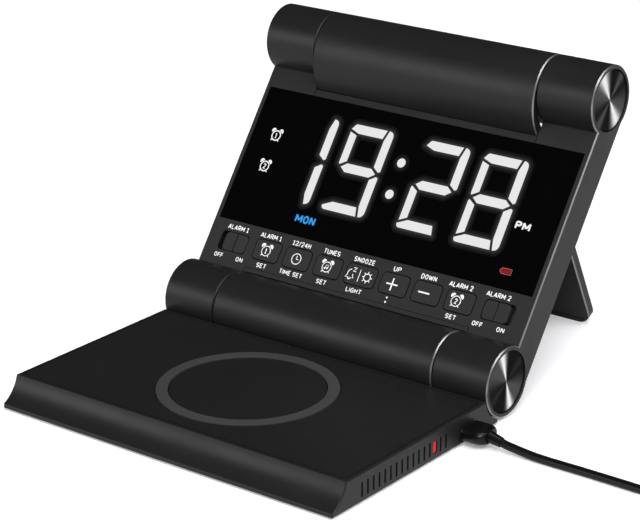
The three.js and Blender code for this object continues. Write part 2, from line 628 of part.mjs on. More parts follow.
function makeSlider(x) {
  const knob = roundedRect(SLIDER_WIDTH, KEY_HEIGHT - 2 * SEAT_GAP, KEY_CORNER_R, x, ROW_S);
  const flangeTop = CAVITY_N - SEAT_GAP;
  const flangeWidth = SLIDER_WIDTH + 2 * KEY_FLANGE;
  const flange = roundedRect(flangeWidth, KEY_HEIGHT + 2 * KEY_FLANGE, KEY_CORNER_R, x, ROW_S);
  const slider = joined(
    alongZ(knob, flangeTop - 0.1, FACE_N, 3),
    alongZ(flange, flangeTop - KEY_FLANGE_T, flangeTop, 3),
    rodZ(KEY_STEM_R, x, ROW_S, ribBottomN + SEAT_GAP, flangeTop - KEY_FLANGE_T + 0.1, 16),
  );
  const half = SLIDER_GROOVE / 2;
  const grooveFloor = FACE_N - SLIDER_GROOVE;
  const groove = block(x - half, x + half, ROW_S - KEY_HEIGHT, ROW_S + KEY_HEIGHT, grooveFloor, FACE_N + 1);
  return cut(slider, groove);
}

function addHingeHardware(s, level) {
  for (const [side, sideName] of [[-1, 'left'], [1, 'right']]) {
    const pinX = side * PIN_CENTRE_X;
    addPart(panelGroup, `${level}_pin_${sideName}`,
      rodX(PIN_R, pinX - PIN_LENGTH / 2, pinX + PIN_LENGTH / 2, s, 0, 24), 'steel');
    const outer = side * (HALF - DISC_RECESS);
    const inner = outer - side * DISC_T;
    addPart(panelGroup, `${level}_disc_${sideName}`,
      rodX(DISC_R, Math.min(inner, outer), Math.max(inner, outer), s, 0, 48), 'brushed');
  }
}

addPart(panelGroup, 'panel_housing', makeHousing(), 'shell');
addPart(panelGroup, 'panel_back_cover', makeBackCover(), 'shell');
const windowGap = SEAT_GAP / 2;
addPart(panelGroup, 'display_window', block(windowGap - SCREEN_HALF, SCREEN_HALF - windowGap,
  SCREEN_S0 + windowGap, SCREEN_S1 - windowGap, FACE_N - SCREEN_T, FACE_N), 'gloss');
const displayTop = CAVITY_N - SEAT_GAP;
addPart(panelGroup, 'display_board', block(SEAT_GAP - cavityX, cavityX - SEAT_GAP, SCREEN_S0 + SEAT_GAP,
  cavityS1 - SEAT_GAP, displayTop - DISPLAY_T, displayTop), 'board');
addPart(panelGroup, 'key_board', block(SEAT_GAP - cavityX, cavityX - SEAT_GAP, CAVITY_S0 + SEAT_GAP,
  SCREEN_S0, ribBottomN - SEAT_GAP - KEY_BOARD_T, ribBottomN - SEAT_GAP), 'board');
const coverTop = BACK_N + BACK_COVER_T + SEAT_GAP;
const speaker = rodZ(SPEAKER_R, SPEAKER_X, SPEAKER_S, coverTop, coverTop + SPEAKER_T, 32);
addPart(panelGroup, 'speaker', speaker, 'ferrite');
addPart(panelGroup, 'coin_cell', rodZ(CELL_R, CELL_X, CELL_S, coverTop, coverTop + CELL_T, 32), 'steel');
addPart(panelGroup, 'cell_door', makeCellDoor(), 'shell');
addHingeHardware(0, 'lower');
addHingeHardware(AXIS_SPACING, 'upper');
keyCentres.forEach(([x, width], index) => addPart(panelGroup, keyNames[index], makeKey(x, width), 'key'));
addPart(panelGroup, 'alarm_1_slider', makeSlider(slideTravel / 2 - SWITCH_X), 'key');
addPart(panelGroup, 'alarm_2_slider', makeSlider(SWITCH_X - slideTravel / 2), 'key');

// Rear leg, drawn about the upper axis with its plate hanging along -Y and its front face towards +Z
const legGroup = new THREE.Group();
legGroup.position.set(0, AXIS_SPACING, 0);
legGroup.rotation.x = LEG_ANGLE;
panelGroup.add(legGroup);

const legLean = PANEL_TILT + LEG_ANGLE;
const axisTopZ = AXIS_HEIGHT + AXIS_SPACING * Math.sin(PANEL_TILT);
const floorAt = (z) => -(axisTopZ + z * Math.cos(legLean)) / Math.sin(legLean);

function legProfile() {
  const shape = new THREE.Shape();
  const rearY = -Math.sqrt(BARREL_R ** 2 - LEG_REAR ** 2);
  const startAngle = Math.atan2(LEG_REAR, rearY);
  const flareAngle = Math.atan2(Math.cos(LEG_ANGLE), Math.sin(LEG_ANGLE));
  const cutY = (z) => floorAt(z) + LEG_FOOT_HEIGHT;
  shape.moveTo(cutY(LEG_REAR), LEG_REAR);
  shape.lineTo(rearY, LEG_REAR);
  shape.absarc(0, 0, BARREL_R, startAngle, flareAngle + Math.PI * 2, false);
  shape.absarc(FLARE_CENTRE.x, FLARE_CENTRE.y, FLARE_R, flareAngle, Math.PI / 2, false);
  shape.lineTo(cutY(LEG_FRONT), LEG_FRONT);
  shape.closePath();
  return shape;
}

function cornerCutter(side) {
  const bottom = floorAt(LEG_REAR);
  const shape = new THREE.Shape();
  const edge = side * CENTRE_HALF;
  const centreX = edge - side * LEG_CORNER_R;
  const centreY = floorAt(LEG_FRONT) + LEG_CORNER_R;
  shape.moveTo(centreX, bottom - LEG_CORNER_R);
  shape.lineTo(edge + side, bottom - LEG_CORNER_R);
  shape.lineTo(edge + side, centreY);
  shape.lineTo(edge, centreY);
  const start = side > 0 ? 0 : Math.PI;
  const end = side > 0 ? -Math.PI / 2 : Math.PI * 1.5;
  shape.absarc(centreX, centreY, LEG_CORNER_R, start, end, side > 0);
  shape.closePath();
  return alongZ(shape, 0, LEG_FRONT + 5, 4);
}

function makeLeg() {
  let leg = alongX(legProfile(), -CENTRE_HALF, CENTRE_HALF, 16, EDGE_BREAK);
  for (const side of [-1, 1]) {
    const boreEnd = side * (PIN_CENTRE_X - BORE_DEPTH);
    const mouth = side * (CENTRE_HALF + 1);
    leg = cut(leg, rodX(PIN_BORE_R, Math.min(boreEnd, mouth), Math.max(boreEnd, mouth), 0, 0, 16));
    leg = cut(leg, cornerCutter(side));
  }
  return leg;
}

function makeLegFoot() {
  const shape = new THREE.Shape();
  const topY = (z) => floorAt(z) + LEG_FOOT_HEIGHT - SEAT_GAP;
  shape.moveTo(floorAt(LEG_REAR), LEG_REAR);
  shape.lineTo(topY(LEG_REAR), LEG_REAR);
  shape.lineTo(topY(LEG_FRONT), LEG_FRONT);
  shape.lineTo(floorAt(LEG_FRONT), LEG_FRONT);
  shape.closePath();
  const strip = alongX(shape, -CENTRE_HALF, CENTRE_HALF);
  return cut(strip, cornerCutter(-1), cornerCutter(1));
}

addPart(legGroup, 'rear_leg', makeLeg(), 'shell');
addPart(legGroup, 'leg_foot', makeLegFoot(), 'rubber');

// Cable with its plugs, on the surface that the base stands on
const cableGroup = new THREE.Group();
baseGroup.add(cableGroup);

const plugX0 = HALF + SEAT_GAP;
const plugX1 = plugX0 + PLUG_LENGTH;
const boot = new THREE.Vector3(Math.cos(BOOT_DROOP), 0, -Math.sin(BOOT_DROOP));
const tipWidth = SOCKET_WIDTH - 2 * SOCKET_WALL - 2 * TIP_GAP;
const tipHeight = SOCKET_HEIGHT - 2 * SOCKET_WALL - 2 * TIP_GAP;
const bootStart = new THREE.Vector3(plugX1 - 1, SOCKET_Y, PLUG_Z);
const bootEnd = bootStart.clone().addScaledVector(boot, BOOT_LENGTH);

// A solid through oval sections across X, each with its place, its width along Y and its height along Z
function lofted(sections, y, z, sides) {
  const positions = [];
  for (const { x, width, height } of sections) {
    const radius = height / 2;
    const reach = Math.max(0, width / 2 - radius);
    for (let index = 0; index < sides; index += 1) {
      const angle = ((index + 0.5) / sides) * Math.PI * 2;
      const across = Math.sign(Math.cos(angle)) * reach + radius * Math.cos(angle);
      positions.push(x, y + across, z + radius * Math.sin(angle));
    }
  }
  const faces = [];
  for (let row = 0; row + 1 < sections.length; row += 1) {
    for (let index = 0; index < sides; index += 1) {
      const a = row * sides + index;
      const b = row * sides + ((index + 1) % sides);
      faces.push(a, b, b + sides, a, b + sides, a + sides);
    }
  }
  const last = (sections.length - 1) * sides;
  for (let index = 1; index + 1 < sides; index += 1) {
    faces.push(0, index + 1, index);
    faces.push(last, last + index, last + index + 1);
  }
  const geometry = new THREE.BufferGeometry();
  geometry.setAttribute('position', new THREE.Float32BufferAttribute(positions, 3));
  geometry.setIndex(faces);
  return toSolid(geometry);
}

// Moulded grip: a broken edge at the base, straight sides, then shoulders rounding in to the neck
function plugSections() {
  const sections = [
    { x: plugX0, width: PLUG_WIDTH - PLUG_CHAMFER, height: PLUG_HEIGHT - PLUG_CHAMFER },
    { x: plugX0 + PLUG_CHAMFER / 2, width: PLUG_WIDTH, height: PLUG_HEIGHT },
  ];
  const shoulderSteps = 5;
  const neckHeight = 2 * BOOT_R;
  for (let step = 0; step <= shoulderSteps; step += 1) {
    const angle = (step / shoulderSteps) * (Math.PI / 2);
    sections.push({
      x: plugX1 - PLUG_SHOULDER * (1 - Math.sin(angle)),
      width: PLUG_NECK_WIDTH + (PLUG_WIDTH - PLUG_NECK_WIDTH) * Math.cos(angle),
      height: neckHeight + (PLUG_HEIGHT - neckHeight) * Math.cos(angle),
    });
  }
  return sections;
}

function makePlug() {
  const cone = new THREE.CylinderGeometry(CABLE_R + 0.3, BOOT_R, BOOT_LENGTH, 16);
  cone.rotateZ(-Math.PI / 2);
  cone.translate(BOOT_LENGTH / 2, 0, 0);
  cone.rotateY(BOOT_DROOP);
  cone.translate(bootStart.x, bootStart.y, bootStart.z);
  return joined(lofted(plugSections(), SOCKET_Y, PLUG_Z, 20), toSolid(cone));
}

function makeTip() {
  const outline = roundedRect(tipWidth, tipHeight, tipHeight / 2 - 0.01, SOCKET_Y, PLUG_Z);
  return alongX(outline, plugX0 - SEAT_GAP - TIP_LENGTH, plugX0 - SEAT_GAP, 4);
}

function tube(curve, steps, sides) {
  const section = new THREE.Shape();
  for (let index = 0; index <= sides; index += 1) {
    const angle = (index / sides) * Math.PI * 2;
    const method = index === 0 ? 'moveTo' : 'lineTo';
    section[method](CABLE_R * Math.cos(angle), CABLE_R * Math.sin(angle));
  }
  const options = { steps, extrudePath: curve, bevelEnabled: false };
  return toSolid(new THREE.ExtrudeGeometry(section, options));
}

const coilCentre = new THREE.Vector2(HALF + COIL_REACH, COIL_ENTRY_Y + COIL_OUTER_R);
const coilInnerR = COIL_OUTER_R - COIL_TURNS * COIL_PITCH;
const coilLead = 2 * CABLE_R;
const ease = (t) => t * t * (3 - 2 * t);

// The coil: in on the lower layer, up in half a turn, out on the upper layer, then half a turn away to the plug
class CoilCurve extends THREE.Curve {
  getPoint(t, target = new THREE.Vector3()) {
    const turnsAll = 2 * COIL_TURNS + 1;
    const leadShare = 0.003;
    const u = (t - leadShare) / (1 - 2 * leadShare);
    const turn = THREE.MathUtils.clamp(u, 0, 1) * turnsAll;
    let radius = COIL_OUTER_R - turn * COIL_PITCH;
    let z = COIL_LOW_Z;
    if (turn > COIL_TURNS) {
      const climb = Math.min(1, (turn - COIL_TURNS) / 0.5);
      radius = coilInnerR - COIL_DIP * Math.sin(Math.PI * climb);
      z += COIL_RISE * ease(climb);
    }
    if (turn > COIL_TURNS + 0.5) radius = coilInnerR + (turn - COIL_TURNS - 0.5) * COIL_PITCH;
    if (turn > 2 * COIL_TURNS + 0.5) {
      const out = (turn - 2 * COIL_TURNS - 0.5) / 0.5;
      radius = COIL_OUTER_R + (COIL_EXIT_R - COIL_OUTER_R) * ease(out);
      z += (COIL_EXIT_Z - COIL_LOW_Z - COIL_RISE) * ease(Math.max(0, 2 * out - 1));
    }
    const angle = turn * Math.PI * 2 - Math.PI / 2;
    target.set(coilCentre.x + radius * Math.cos(angle), coilCentre.y + radius * Math.sin(angle), z);
    if (u < 0) target.x += (u * (1 - 2 * leadShare) / leadShare) * coilLead;
    if (u > 1) target.x -= ((t - 1 + leadShare) / leadShare) * coilLead;
    return target;
  }
}

const coilCurve = new CoilCurve();
coilCurve.arcLengthDivisions = 2000;
const coilStart = coilCurve.getPoint(0);
const coilEnd = coilCurve.getPoint(1);

function leastGap(curve, samples) {
  const points = curve.getSpacedPoints(samples);
  const step = curve.getLength() / samples;
  const skip = Math.ceil((4 * CABLE_R) / step);
  let least = Infinity;
  for (let i = 0; i < samples; i += 1) {
    for (let j = i + skip; j <= samples; j += 1) {
      least = Math.min(least, points[i].distanceTo(points[j]));
    }
  }
  return least - 2 * CABLE_R;
}

const runStart = bootEnd.clone().addScaledVector(boot, SEAT_GAP);
const runCurve = new THREE.CatmullRomCurve3([
  runStart,
  runStart.clone().addScaledVector(boot, 2),
  new THREE.Vector3(HALF + 18, -21.5, 2.3),
  new THREE.Vector3(HALF + 24, -21.4, 1.65),
  new THREE.Vector3(HALF + 30, -21.3, RUN_Z),
  new THREE.Vector3(HALF + 42, -21.2, RUN_Z),
  new THREE.Vector3(HALF + 54, -21.3, RUN_Z),
  new THREE.Vector3(HALF + 66, -21.4, RUN_Z),
  new THREE.Vector3(HALF + 76, COIL_ENTRY_Y, 1.9),
  new THREE.Vector3(coilStart.x - SEAT_GAP - 2, COIL_ENTRY_Y, COIL_LOW_Z),
  new THREE.Vector3(coilStart.x - SEAT_GAP, COIL_ENTRY_Y, COIL_LOW_Z),
]);

function makeTie() {
  const angle = THREE.MathUtils.degToRad(135);
  const inner = coilInnerR - CABLE_R - SEAT_GAP;
  const outer = COIL_OUTER_R + CABLE_R + SEAT_GAP + 0.6;
  const low = COIL_LOW_Z - CABLE_R - SEAT_GAP;
  const high = COIL_LOW_Z + COIL_RISE + CABLE_R + SEAT_GAP;
  const half = TIE_WIDTH / 2;
  const band = cut(
    block(inner - TIE_T, outer + TIE_T, -half, half, low - TIE_T, high + TIE_T),
    block(inner, outer, -half - 1, half + 1, low, high),
  );
  const geometry = toGeometry(band);
  geometry.rotateZ(angle);
  geometry.translate(coilCentre.x, coilCentre.y, 0);
  return toSolid(geometry);
}

const usbAX1 = coilEnd.x - SEAT_GAP;
const usbABoot = 6;
const usbABodyX1 = usbAX1 - usbABoot;
const usbABodyX0 = usbABodyX1 - USB_A_LENGTH;

function makeUsbAPlug() {
  const body = roundedRect(USB_A_WIDTH, USB_A_HEIGHT, USB_A_CORNER_R, coilEnd.y, COIL_EXIT_Z);
  const cone = new THREE.CylinderGeometry(CABLE_R + 0.3, BOOT_R, usbABoot + 1, 16);
  cone.rotateZ(-Math.PI / 2);
  cone.translate(usbAX1 - (usbABoot + 1) / 2, coilEnd.y, COIL_EXIT_Z);
  return joined(alongX(body, usbABodyX0, usbABodyX1, 4, PLUG_CHAMFER), toSolid(cone));
}

function makeUsbAShell() {
  const y = coilEnd.y;
  const half = USB_A_SHELL_WIDTH / 2;
  const tall = USB_A_SHELL_HEIGHT / 2;
  const wall = USB_A_SHELL_WALL;
  const x1 = usbABodyX0 - SEAT_GAP;
  const x0 = x1 - USB_A_SHELL_LENGTH;
  const z = COIL_EXIT_Z;
  let shell = cut(
    block(x0, x1, y - half, y + half, z - tall, z + tall),
    block(x0 - 1, x1 - 2, y - half + wall, y + half - wall, z - tall + wall + USB_A_TONGUE, z + tall - wall),
  );
  const windowX = (x0 + x1) / 2;
  for (const side of [-1, 1]) {
    const windowY = y + (side * USB_A_SHELL_WIDTH) / 4;
    const h = USB_A_WINDOW / 2;
    shell = cut(shell, block(windowX - h, windowX + h, windowY - h, windowY + h, z, z + tall + 1));
  }
  return shell;
}

addPart(cableGroup, 'usb_c_plug', makePlug(), 'cable');
addPart(cableGroup, 'usb_c_tip', makeTip(), 'steel');
addPart(cableGroup, 'cable_run', tube(runCurve, 12, 8), 'cable');
const coilSteps = Math.round((2 * COIL_TURNS + 1) * 24);
addPart(cableGroup, 'cable_coil', tube(coilCurve, coilSteps, 6), 'cable');
addPart(cableGroup, 'cable_tie', makeTie(), 'rubber');
addPart(cableGroup, 'usb_a_plug', makeUsbAPlug(), 'cable');
addPart(cableGroup, 'usb_a_shell', makeUsbAShell(), 'steel');

console.log('cable length mm', (runCurve.getLength() + coilCurve.getLength()).toFixed(0));
console.log('coil gap to itself mm', leastGap(coilCurve, 1500).toFixed(2));

const clock = new THREE.Group();
clock.position.y = ORIGIN_SHIFT_Y;
clock.add(baseGroup, panelGroup);

export default clock;
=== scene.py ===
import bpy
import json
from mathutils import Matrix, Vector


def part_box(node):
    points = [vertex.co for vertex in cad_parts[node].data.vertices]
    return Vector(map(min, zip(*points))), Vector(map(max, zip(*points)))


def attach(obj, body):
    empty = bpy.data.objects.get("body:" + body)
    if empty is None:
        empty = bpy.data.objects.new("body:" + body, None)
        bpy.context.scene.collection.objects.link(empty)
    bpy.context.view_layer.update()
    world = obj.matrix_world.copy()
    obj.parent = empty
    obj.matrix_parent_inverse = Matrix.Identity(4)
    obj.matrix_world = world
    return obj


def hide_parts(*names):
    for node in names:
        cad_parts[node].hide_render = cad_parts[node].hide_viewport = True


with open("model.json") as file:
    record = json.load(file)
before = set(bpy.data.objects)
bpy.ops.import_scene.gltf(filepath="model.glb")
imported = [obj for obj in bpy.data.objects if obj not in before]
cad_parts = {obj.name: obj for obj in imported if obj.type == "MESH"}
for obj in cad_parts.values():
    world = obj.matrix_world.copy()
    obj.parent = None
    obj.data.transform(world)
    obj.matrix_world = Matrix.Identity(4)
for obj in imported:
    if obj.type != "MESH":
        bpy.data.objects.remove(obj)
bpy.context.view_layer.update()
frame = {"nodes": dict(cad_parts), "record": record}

import json
import math

import bpy
from mathutils import Matrix, Vector

MM = 0.001
NODES = frame["nodes"]
scene = bpy.context.scene

# Sizes repeated from the part, in millimetres
SHIFT_Y = 0.35
AXIS_HEIGHT = 13.4
AXIS_SPACING = 99.6
TILT = math.radians(54.3)
FACE_N = 0.6
BACK_N = -11.4
KEY_PROUD = 0.15
KEY_TOP_N = FACE_N + KEY_PROUD
CABLE_R = 1.4

# From flat panel places in millimetres, x across, s up the face and n out of it, to places in metres
PANEL = (
    Matrix.Translation((0, SHIFT_Y * MM, AXIS_HEIGHT * MM))
    @ Matrix.Rotation(TILT, 4, "X")
    @ Matrix.Scale(MM, 4)
)


def in_base(x, y, z):
    """A place in metres from one in the base, in millimetres about the lower hinge's plane."""
    return Vector((x, y + SHIFT_Y, z)) * MM


# Camera at the photograph's view: its place in millimetres, the ways it points, and its lens
CAMERA_PLACE = (460.54, -609.39, 319.95)
CAMERA_RIGHT = (0.7929, 0.6094, -0.0013)
CAMERA_FORWARD = (-0.5724, 0.7440, -0.3448)
CAMERA_LENS = 136.58
SENSOR_WIDTH = 36.0
NEAR_CLIP = 0.01


def add_camera():
    data = bpy.data.cameras.new("camera")
    data.sensor_fit = "HORIZONTAL"
    data.sensor_width = SENSOR_WIDTH
    data.lens = CAMERA_LENS
    data.clip_start = NEAR_CLIP
    forward = Vector(CAMERA_FORWARD).normalized()
    up = Vector(CAMERA_RIGHT).normalized().cross(forward).normalized()
    right = forward.cross(up).normalized()
    turn = Matrix((right, up, -forward)).transposed().to_4x4()
    camera = bpy.data.objects.new("camera", data)
    scene.collection.objects.link(camera)
    camera.matrix_world = Matrix.Translation(in_base(*CAMERA_PLACE)) @ turn
    scene.camera = camera


add_camera()
scene.view_settings.view_transform = "Standard"


# Node helpers
def feed(tree, node, values):
    """Sets a node's inputs, each to a value or to another node's output."""
    for label, value in values.items():
        if isinstance(value, bpy.types.NodeSocket):
            tree.links.new(value, node.inputs[label])
        else:
            node.inputs[label].default_value = value


def add_node(tree, kind, values=None, **settings):
    """A new node of a tree, with its settings and its inputs."""
    node = tree.nodes.new(kind)
    for label, value in settings.items():
        setattr(node, label, value)
    feed(tree, node, values or {})
    return node


def add_maths(tree, operation, first, second=None):
    """The result of one Math node; each input is a number or another node's output."""
    values = {0: first} if second is None else {0: first, 1: second}
    return add_node(tree, "ShaderNodeMath", values, operation=operation).outputs["Value"]


def make_group(name, inputs, outputs, tree_kind="ShaderNodeTree"):
    """A node group with named inputs and outputs: the group, what it is given, and its end."""
    group = bpy.data.node_groups.new(name, tree_kind)
    for way, sockets in (("INPUT", inputs), ("OUTPUT", outputs)):
        for label, kind in sockets.items():
            group.interface.new_socket(label, in_out=way, socket_type="NodeSocket" + kind)
    return group, group.nodes.new("NodeGroupInput").outputs, group.nodes.new("NodeGroupOutput")


# Shared surfaces
SURFACE = {"Color": "Color", "Roughness": "Float", "Normal": "Vector"}
BUMP_DISTANCE = 0.0001
GRAIN_DETAIL = 2.0
DRIFT_SCALE = 45.0
DRIFT_DETAIL = 4.0
DRIFT_SPAN = (0.3, 0.7)


def grain_group():
    """Fine moulded texture: a bump, a fine change of tone and a slow drift of roughness."""
    inputs = {"Scale": "Float", "Depth": "Float", "Rough Low": "Float", "Rough High": "Float",
              "Dark": "Color", "Light": "Color"}
    group, given, end = make_group("moulded_grain", inputs, SURFACE)
    place = add_node(group, "ShaderNodeTexCoord").outputs["Object"]
    fine = add_node(group, "ShaderNodeTexNoise", {
        "Vector": place, "Scale": given["Scale"], "Detail": GRAIN_DETAIL,
    }).outputs["Fac"]
    slow = add_node(group, "ShaderNodeTexNoise", {
        "Vector": place, "Scale": DRIFT_SCALE, "Detail": DRIFT_DETAIL,
    }).outputs["Fac"]
    bump = add_node(group, "ShaderNodeBump", {
        "Strength": given["Depth"], "Distance": BUMP_DISTANCE, "Height": fine,
    })
    rough = add_node(group, "ShaderNodeMapRange", {
        "Value": slow, "From Min": DRIFT_SPAN[0], "From Max": DRIFT_SPAN[1],
        "To Min": given["Rough Low"], "To Max": given["Rough High"],
    })
    tone = add_node(group, "ShaderNodeMix", {
        "Factor": fine, "A": given["Dark"], "B": given["Light"],
    }, data_type="RGBA")
    feed(group, end, {"Color": tone.outputs["Result"], "Roughness": rough.outputs["Result"],
                      "Normal": bump.outputs["Normal"]})
    return group


# Turned rings of the hinge discs: their fineness, light, roughness and bump
RING_SCALE = 6000.0
RING_DETAIL = 3.0
RING_LIGHT = 0.004
RING_ROUGHNESS = (0.28, 0.40)
RING_BUMP = 0.05
# How much the painted highlights and the rings' tone vary from ring to ring
PAINTED_SHIMMER_LOW = 0.75
PAINTED_SHIMMER_SPAN = 0.5
# Painted highlight wedges on the discs: degrees round from the bright one, sharpness and strength
BROAD_PAINTED_HIGHLIGHT = (36.0, 3.2, 0.075)
SIDE_HIGHLIGHT_TURN = -72.0
SIDE_HIGHLIGHT_SHARPNESS = 30.0


def spun_painted_highlight_group():
    """Lathe-turned steel about a centre: fine rings, and highlight wedges painted into its colour where
    such rings would catch light.
    """
    # Dark is the steel's own tone; Light is the near-white of its painted highlights and ring tone
    inputs = {"Centre": "Vector", "Highlight Turn": "Float", "Sharpness": "Float", "Side": "Float",
              "Dark": "Color", "Light": "Color"}
    group, given, end = make_group("spun_rings_painted_highlights", inputs, SURFACE)
    place = add_node(group, "ShaderNodeTexCoord").outputs["Object"]
    centre = given["Centre"]
    centred = add_node(group, "ShaderNodeVectorMath", {0: place, 1: centre}, operation="SUBTRACT")
    parts = add_node(group, "ShaderNodeSeparateXYZ", {"Vector": centred.outputs["Vector"]}).outputs
    across, upward = parts["Y"], parts["Z"]
    square = add_maths(group, "ADD", add_maths(group, "MULTIPLY", across, across),
                       add_maths(group, "MULTIPLY", upward, upward))
    angle = add_maths(group, "SUBTRACT", add_maths(group, "ARCTAN2", upward, across), given["Highlight Turn"])
    rings = add_node(group, "ShaderNodeTexNoise", {
        "W": add_maths(group, "SQRT", square), "Scale": RING_SCALE, "Detail": RING_DETAIL,
    }, noise_dimensions="1D").outputs["Fac"]
    # The mix factor: the rings' own faint tone, then the painted highlight wedges added to it
    light = add_maths(group, "MULTIPLY", rings, RING_LIGHT)
    main_painted_highlight = (0.0, given["Sharpness"], 1.0)
    side_painted_highlight = (SIDE_HIGHLIGHT_TURN, SIDE_HIGHLIGHT_SHARPNESS, given["Side"])
    for turn, highlight_sharpness, strength in (main_painted_highlight, BROAD_PAINTED_HIGHLIGHT, side_painted_highlight):
        cosine = add_maths(group, "COSINE", add_maths(group, "SUBTRACT", angle, math.radians(turn)))
        painted_highlight = add_maths(group, "POWER", add_maths(group, "MULTIPLY", cosine, cosine), highlight_sharpness)
        light = add_maths(group, "ADD", light, add_maths(group, "MULTIPLY", painted_highlight, strength))
    painted_shimmer = add_maths(group, "ADD", add_maths(group, "MULTIPLY", rings, PAINTED_SHIMMER_SPAN), PAINTED_SHIMMER_LOW)
    tone = add_node(group, "ShaderNodeMix", {
        "Factor": add_maths(group, "MULTIPLY", light, painted_shimmer), "A": given["Dark"], "B": given["Light"],
    }, data_type="RGBA")
    rough = add_node(group, "ShaderNodeMapRange", {
        "Value": rings, "To Min": RING_ROUGHNESS[0], "To Max": RING_ROUGHNESS[1],
    })
    bump = add_node(group, "ShaderNodeBump", {
        "Strength": RING_BUMP, "Distance": BUMP_DISTANCE, "Height": rings,
    })
    feed(group, end, {"Color": tone.outputs["Result"], "Roughness": rough.outputs["Result"],
                      "Normal": bump.outputs["Normal"]})
    return group


GRAIN = grain_group()
SPUN_RINGS_AND_HIGHLIGHTS = spun_painted_highlight_group()

# Materials
GREY_BLUE = 1.02
# Disc steel: its dark tone, the near-white of its painted highlights and ring tone, and its tint
SPUN_DARK = (0.004, 0.004, 0.0042, 1.0)
SPUN_RING_TONE_AND_PAINTED_HIGHLIGHT = (0.95, 0.95, 0.95, 1.0)
SPUN_TINT = (0.55, 0.55, 0.55, 1.0)
# Lit elements: the share of their colour that shows unlit, and the finish and ripple of their face
UNLIT_SHARE = 0.1
LIT_ROUGHNESS = 0.4
LIT_SPECULAR = 0.1
RIPPLE_SCALE = 220.0


def grey(value):
    """A grey with a trace of blue."""
    return (value, value, value * GREY_BLUE, 1.0)


def share_of(colour, share):
    """A colour dimmed to a share of itself."""
    return (*[channel * share for channel in colour], 1.0)


def new_material(name):
    material = bpy.data.materials.new(name)
    material.use_nodes = True
    return material, material.node_tree, material.node_tree.nodes["Principled BSDF"]


def textured(name, group, values, sockets):
    """A material with a node group's surface, and the shader's plain numbers on its own sockets."""
    material, tree, shader = new_material(name)
    surface = add_node(tree, "ShaderNodeGroup", values, node_tree=group).outputs
    feed(tree, shader, {"Base Color": surface["Color"], "Roughness": surface["Roughness"],
                        "Normal": surface["Normal"], **sockets})
    return material


def grained(name, dark, light, rough, scale=2600.0, depth=0.12, specular=0.5, metallic=0.0):
    """Moulded plastic, rubber, print or sheet metal; rough is the low and the high of its roughness."""
    values = {"Scale": scale, "Depth": depth, "Rough Low": rough[0], "Rough High": rough[1],
              "Dark": dark, "Light": light}
    return textured(name, GRAIN, values, {"Specular IOR Level": specular, "Metallic": metallic})


def spun_steel(name, centre, turn, highlight_sharpness, side):
    """Dark turned steel for the discs on one hinge axis, which passes through centre; turn,
    highlight_sharpness and side place and shape its painted highlight wedges.
    """
    values = {"Centre": centre, "Highlight Turn": math.radians(turn), "Sharpness": highlight_sharpness, "Side": side,
              "Dark": SPUN_DARK, "Light": SPUN_RING_TONE_AND_PAINTED_HIGHLIGHT}
    return textured(name, SPUN_RINGS_AND_HIGHLIGHTS, values, {"Metallic": 1.0, "Specular Tint": SPUN_TINT})


def lit(name, colour, ripple=0.06):
    """A display element that gives its own light, with a faint unevenness across it."""
    material, tree, shader = new_material(name)
    place = add_node(tree, "ShaderNodeTexCoord").outputs["Object"]
    noise = add_node(tree, "ShaderNodeTexNoise", {"Vector": place, "Scale": RIPPLE_SCALE})
    tone = add_node(tree, "ShaderNodeMix", {
        "Factor": noise.outputs["Fac"], "A": share_of(colour, 1 - ripple), "B": share_of(colour, 1),
    }, data_type="RGBA")
    feed(tree, shader, {"Base Color": share_of(colour, UNLIT_SHARE), "Roughness": LIT_ROUGHNESS,
                        "Specular IOR Level": LIT_SPECULAR, "Emission Color": tone.outputs["Result"],
                        "Emission Strength": 1.0})
    return material


# Finishes: dark and light tone, roughness, then the scale and depth of the grain
SHELL = grained("satin_black_plastic", grey(0.006), grey(0.011), (0.36, 0.45), specular=0.23)
# The panel's flat front is a lighter copy of the shell plastic: partly its own tone as an inset face,
# partly painted light for the light the front catches
FACE = grained("panel_face_plastic", grey(0.010), grey(0.017), (0.40, 0.50), specular=0.25)
KEY = grained("key_plastic", grey(0.011), grey(0.019), (0.42, 0.52), specular=0.26)
# Light metallic finish on the barrels' end chamfers: a painted highlight on the black plastic's edges
PAINTED_EDGE_HIGHLIGHT = grained("painted_edge_highlight", grey(0.21), grey(0.25), (0.30, 0.36), 2600.0, 0.02, metallic=0.85)
WINDOW = grained("smoked_window", grey(0.0008), grey(0.0014), (0.05, 0.09), 400.0, 0.01, specular=0.10)
RUBBER = grained("black_rubber", grey(0.010), grey(0.018), (0.75, 0.9), 1800.0, 0.3, specular=0.4)
SILICONE = grained("grip_silicone", grey(0.024), grey(0.036), (0.6, 0.72), 1500.0, 0.25, specular=0.4)
STEEL = grained("plain_steel", grey(0.50), grey(0.60), (0.32, 0.42), 900.0, 0.008, metallic=1.0)
COPPER = grained("copper_winding", (0.42, 0.15, 0.04, 1), (0.58, 0.24, 0.08, 1), (0.3, 0.45),
                 metallic=1.0)
FERRITE = grained("ferrite", grey(0.03), grey(0.045), (0.7, 0.85))
BOARD = grained("circuit_board", (0.008, 0.07, 0.025, 1), (0.014, 0.11, 0.04, 1), (0.45, 0.6))
CABLE = grained("cable_sheath", grey(0.002), grey(0.004), (0.26, 0.34), 1400.0, 0.1, specular=0.2)
PRINT = grained("white_print", grey(0.72), grey(0.80), (0.5, 0.6), 5000.0, 0.05, specular=0.2)
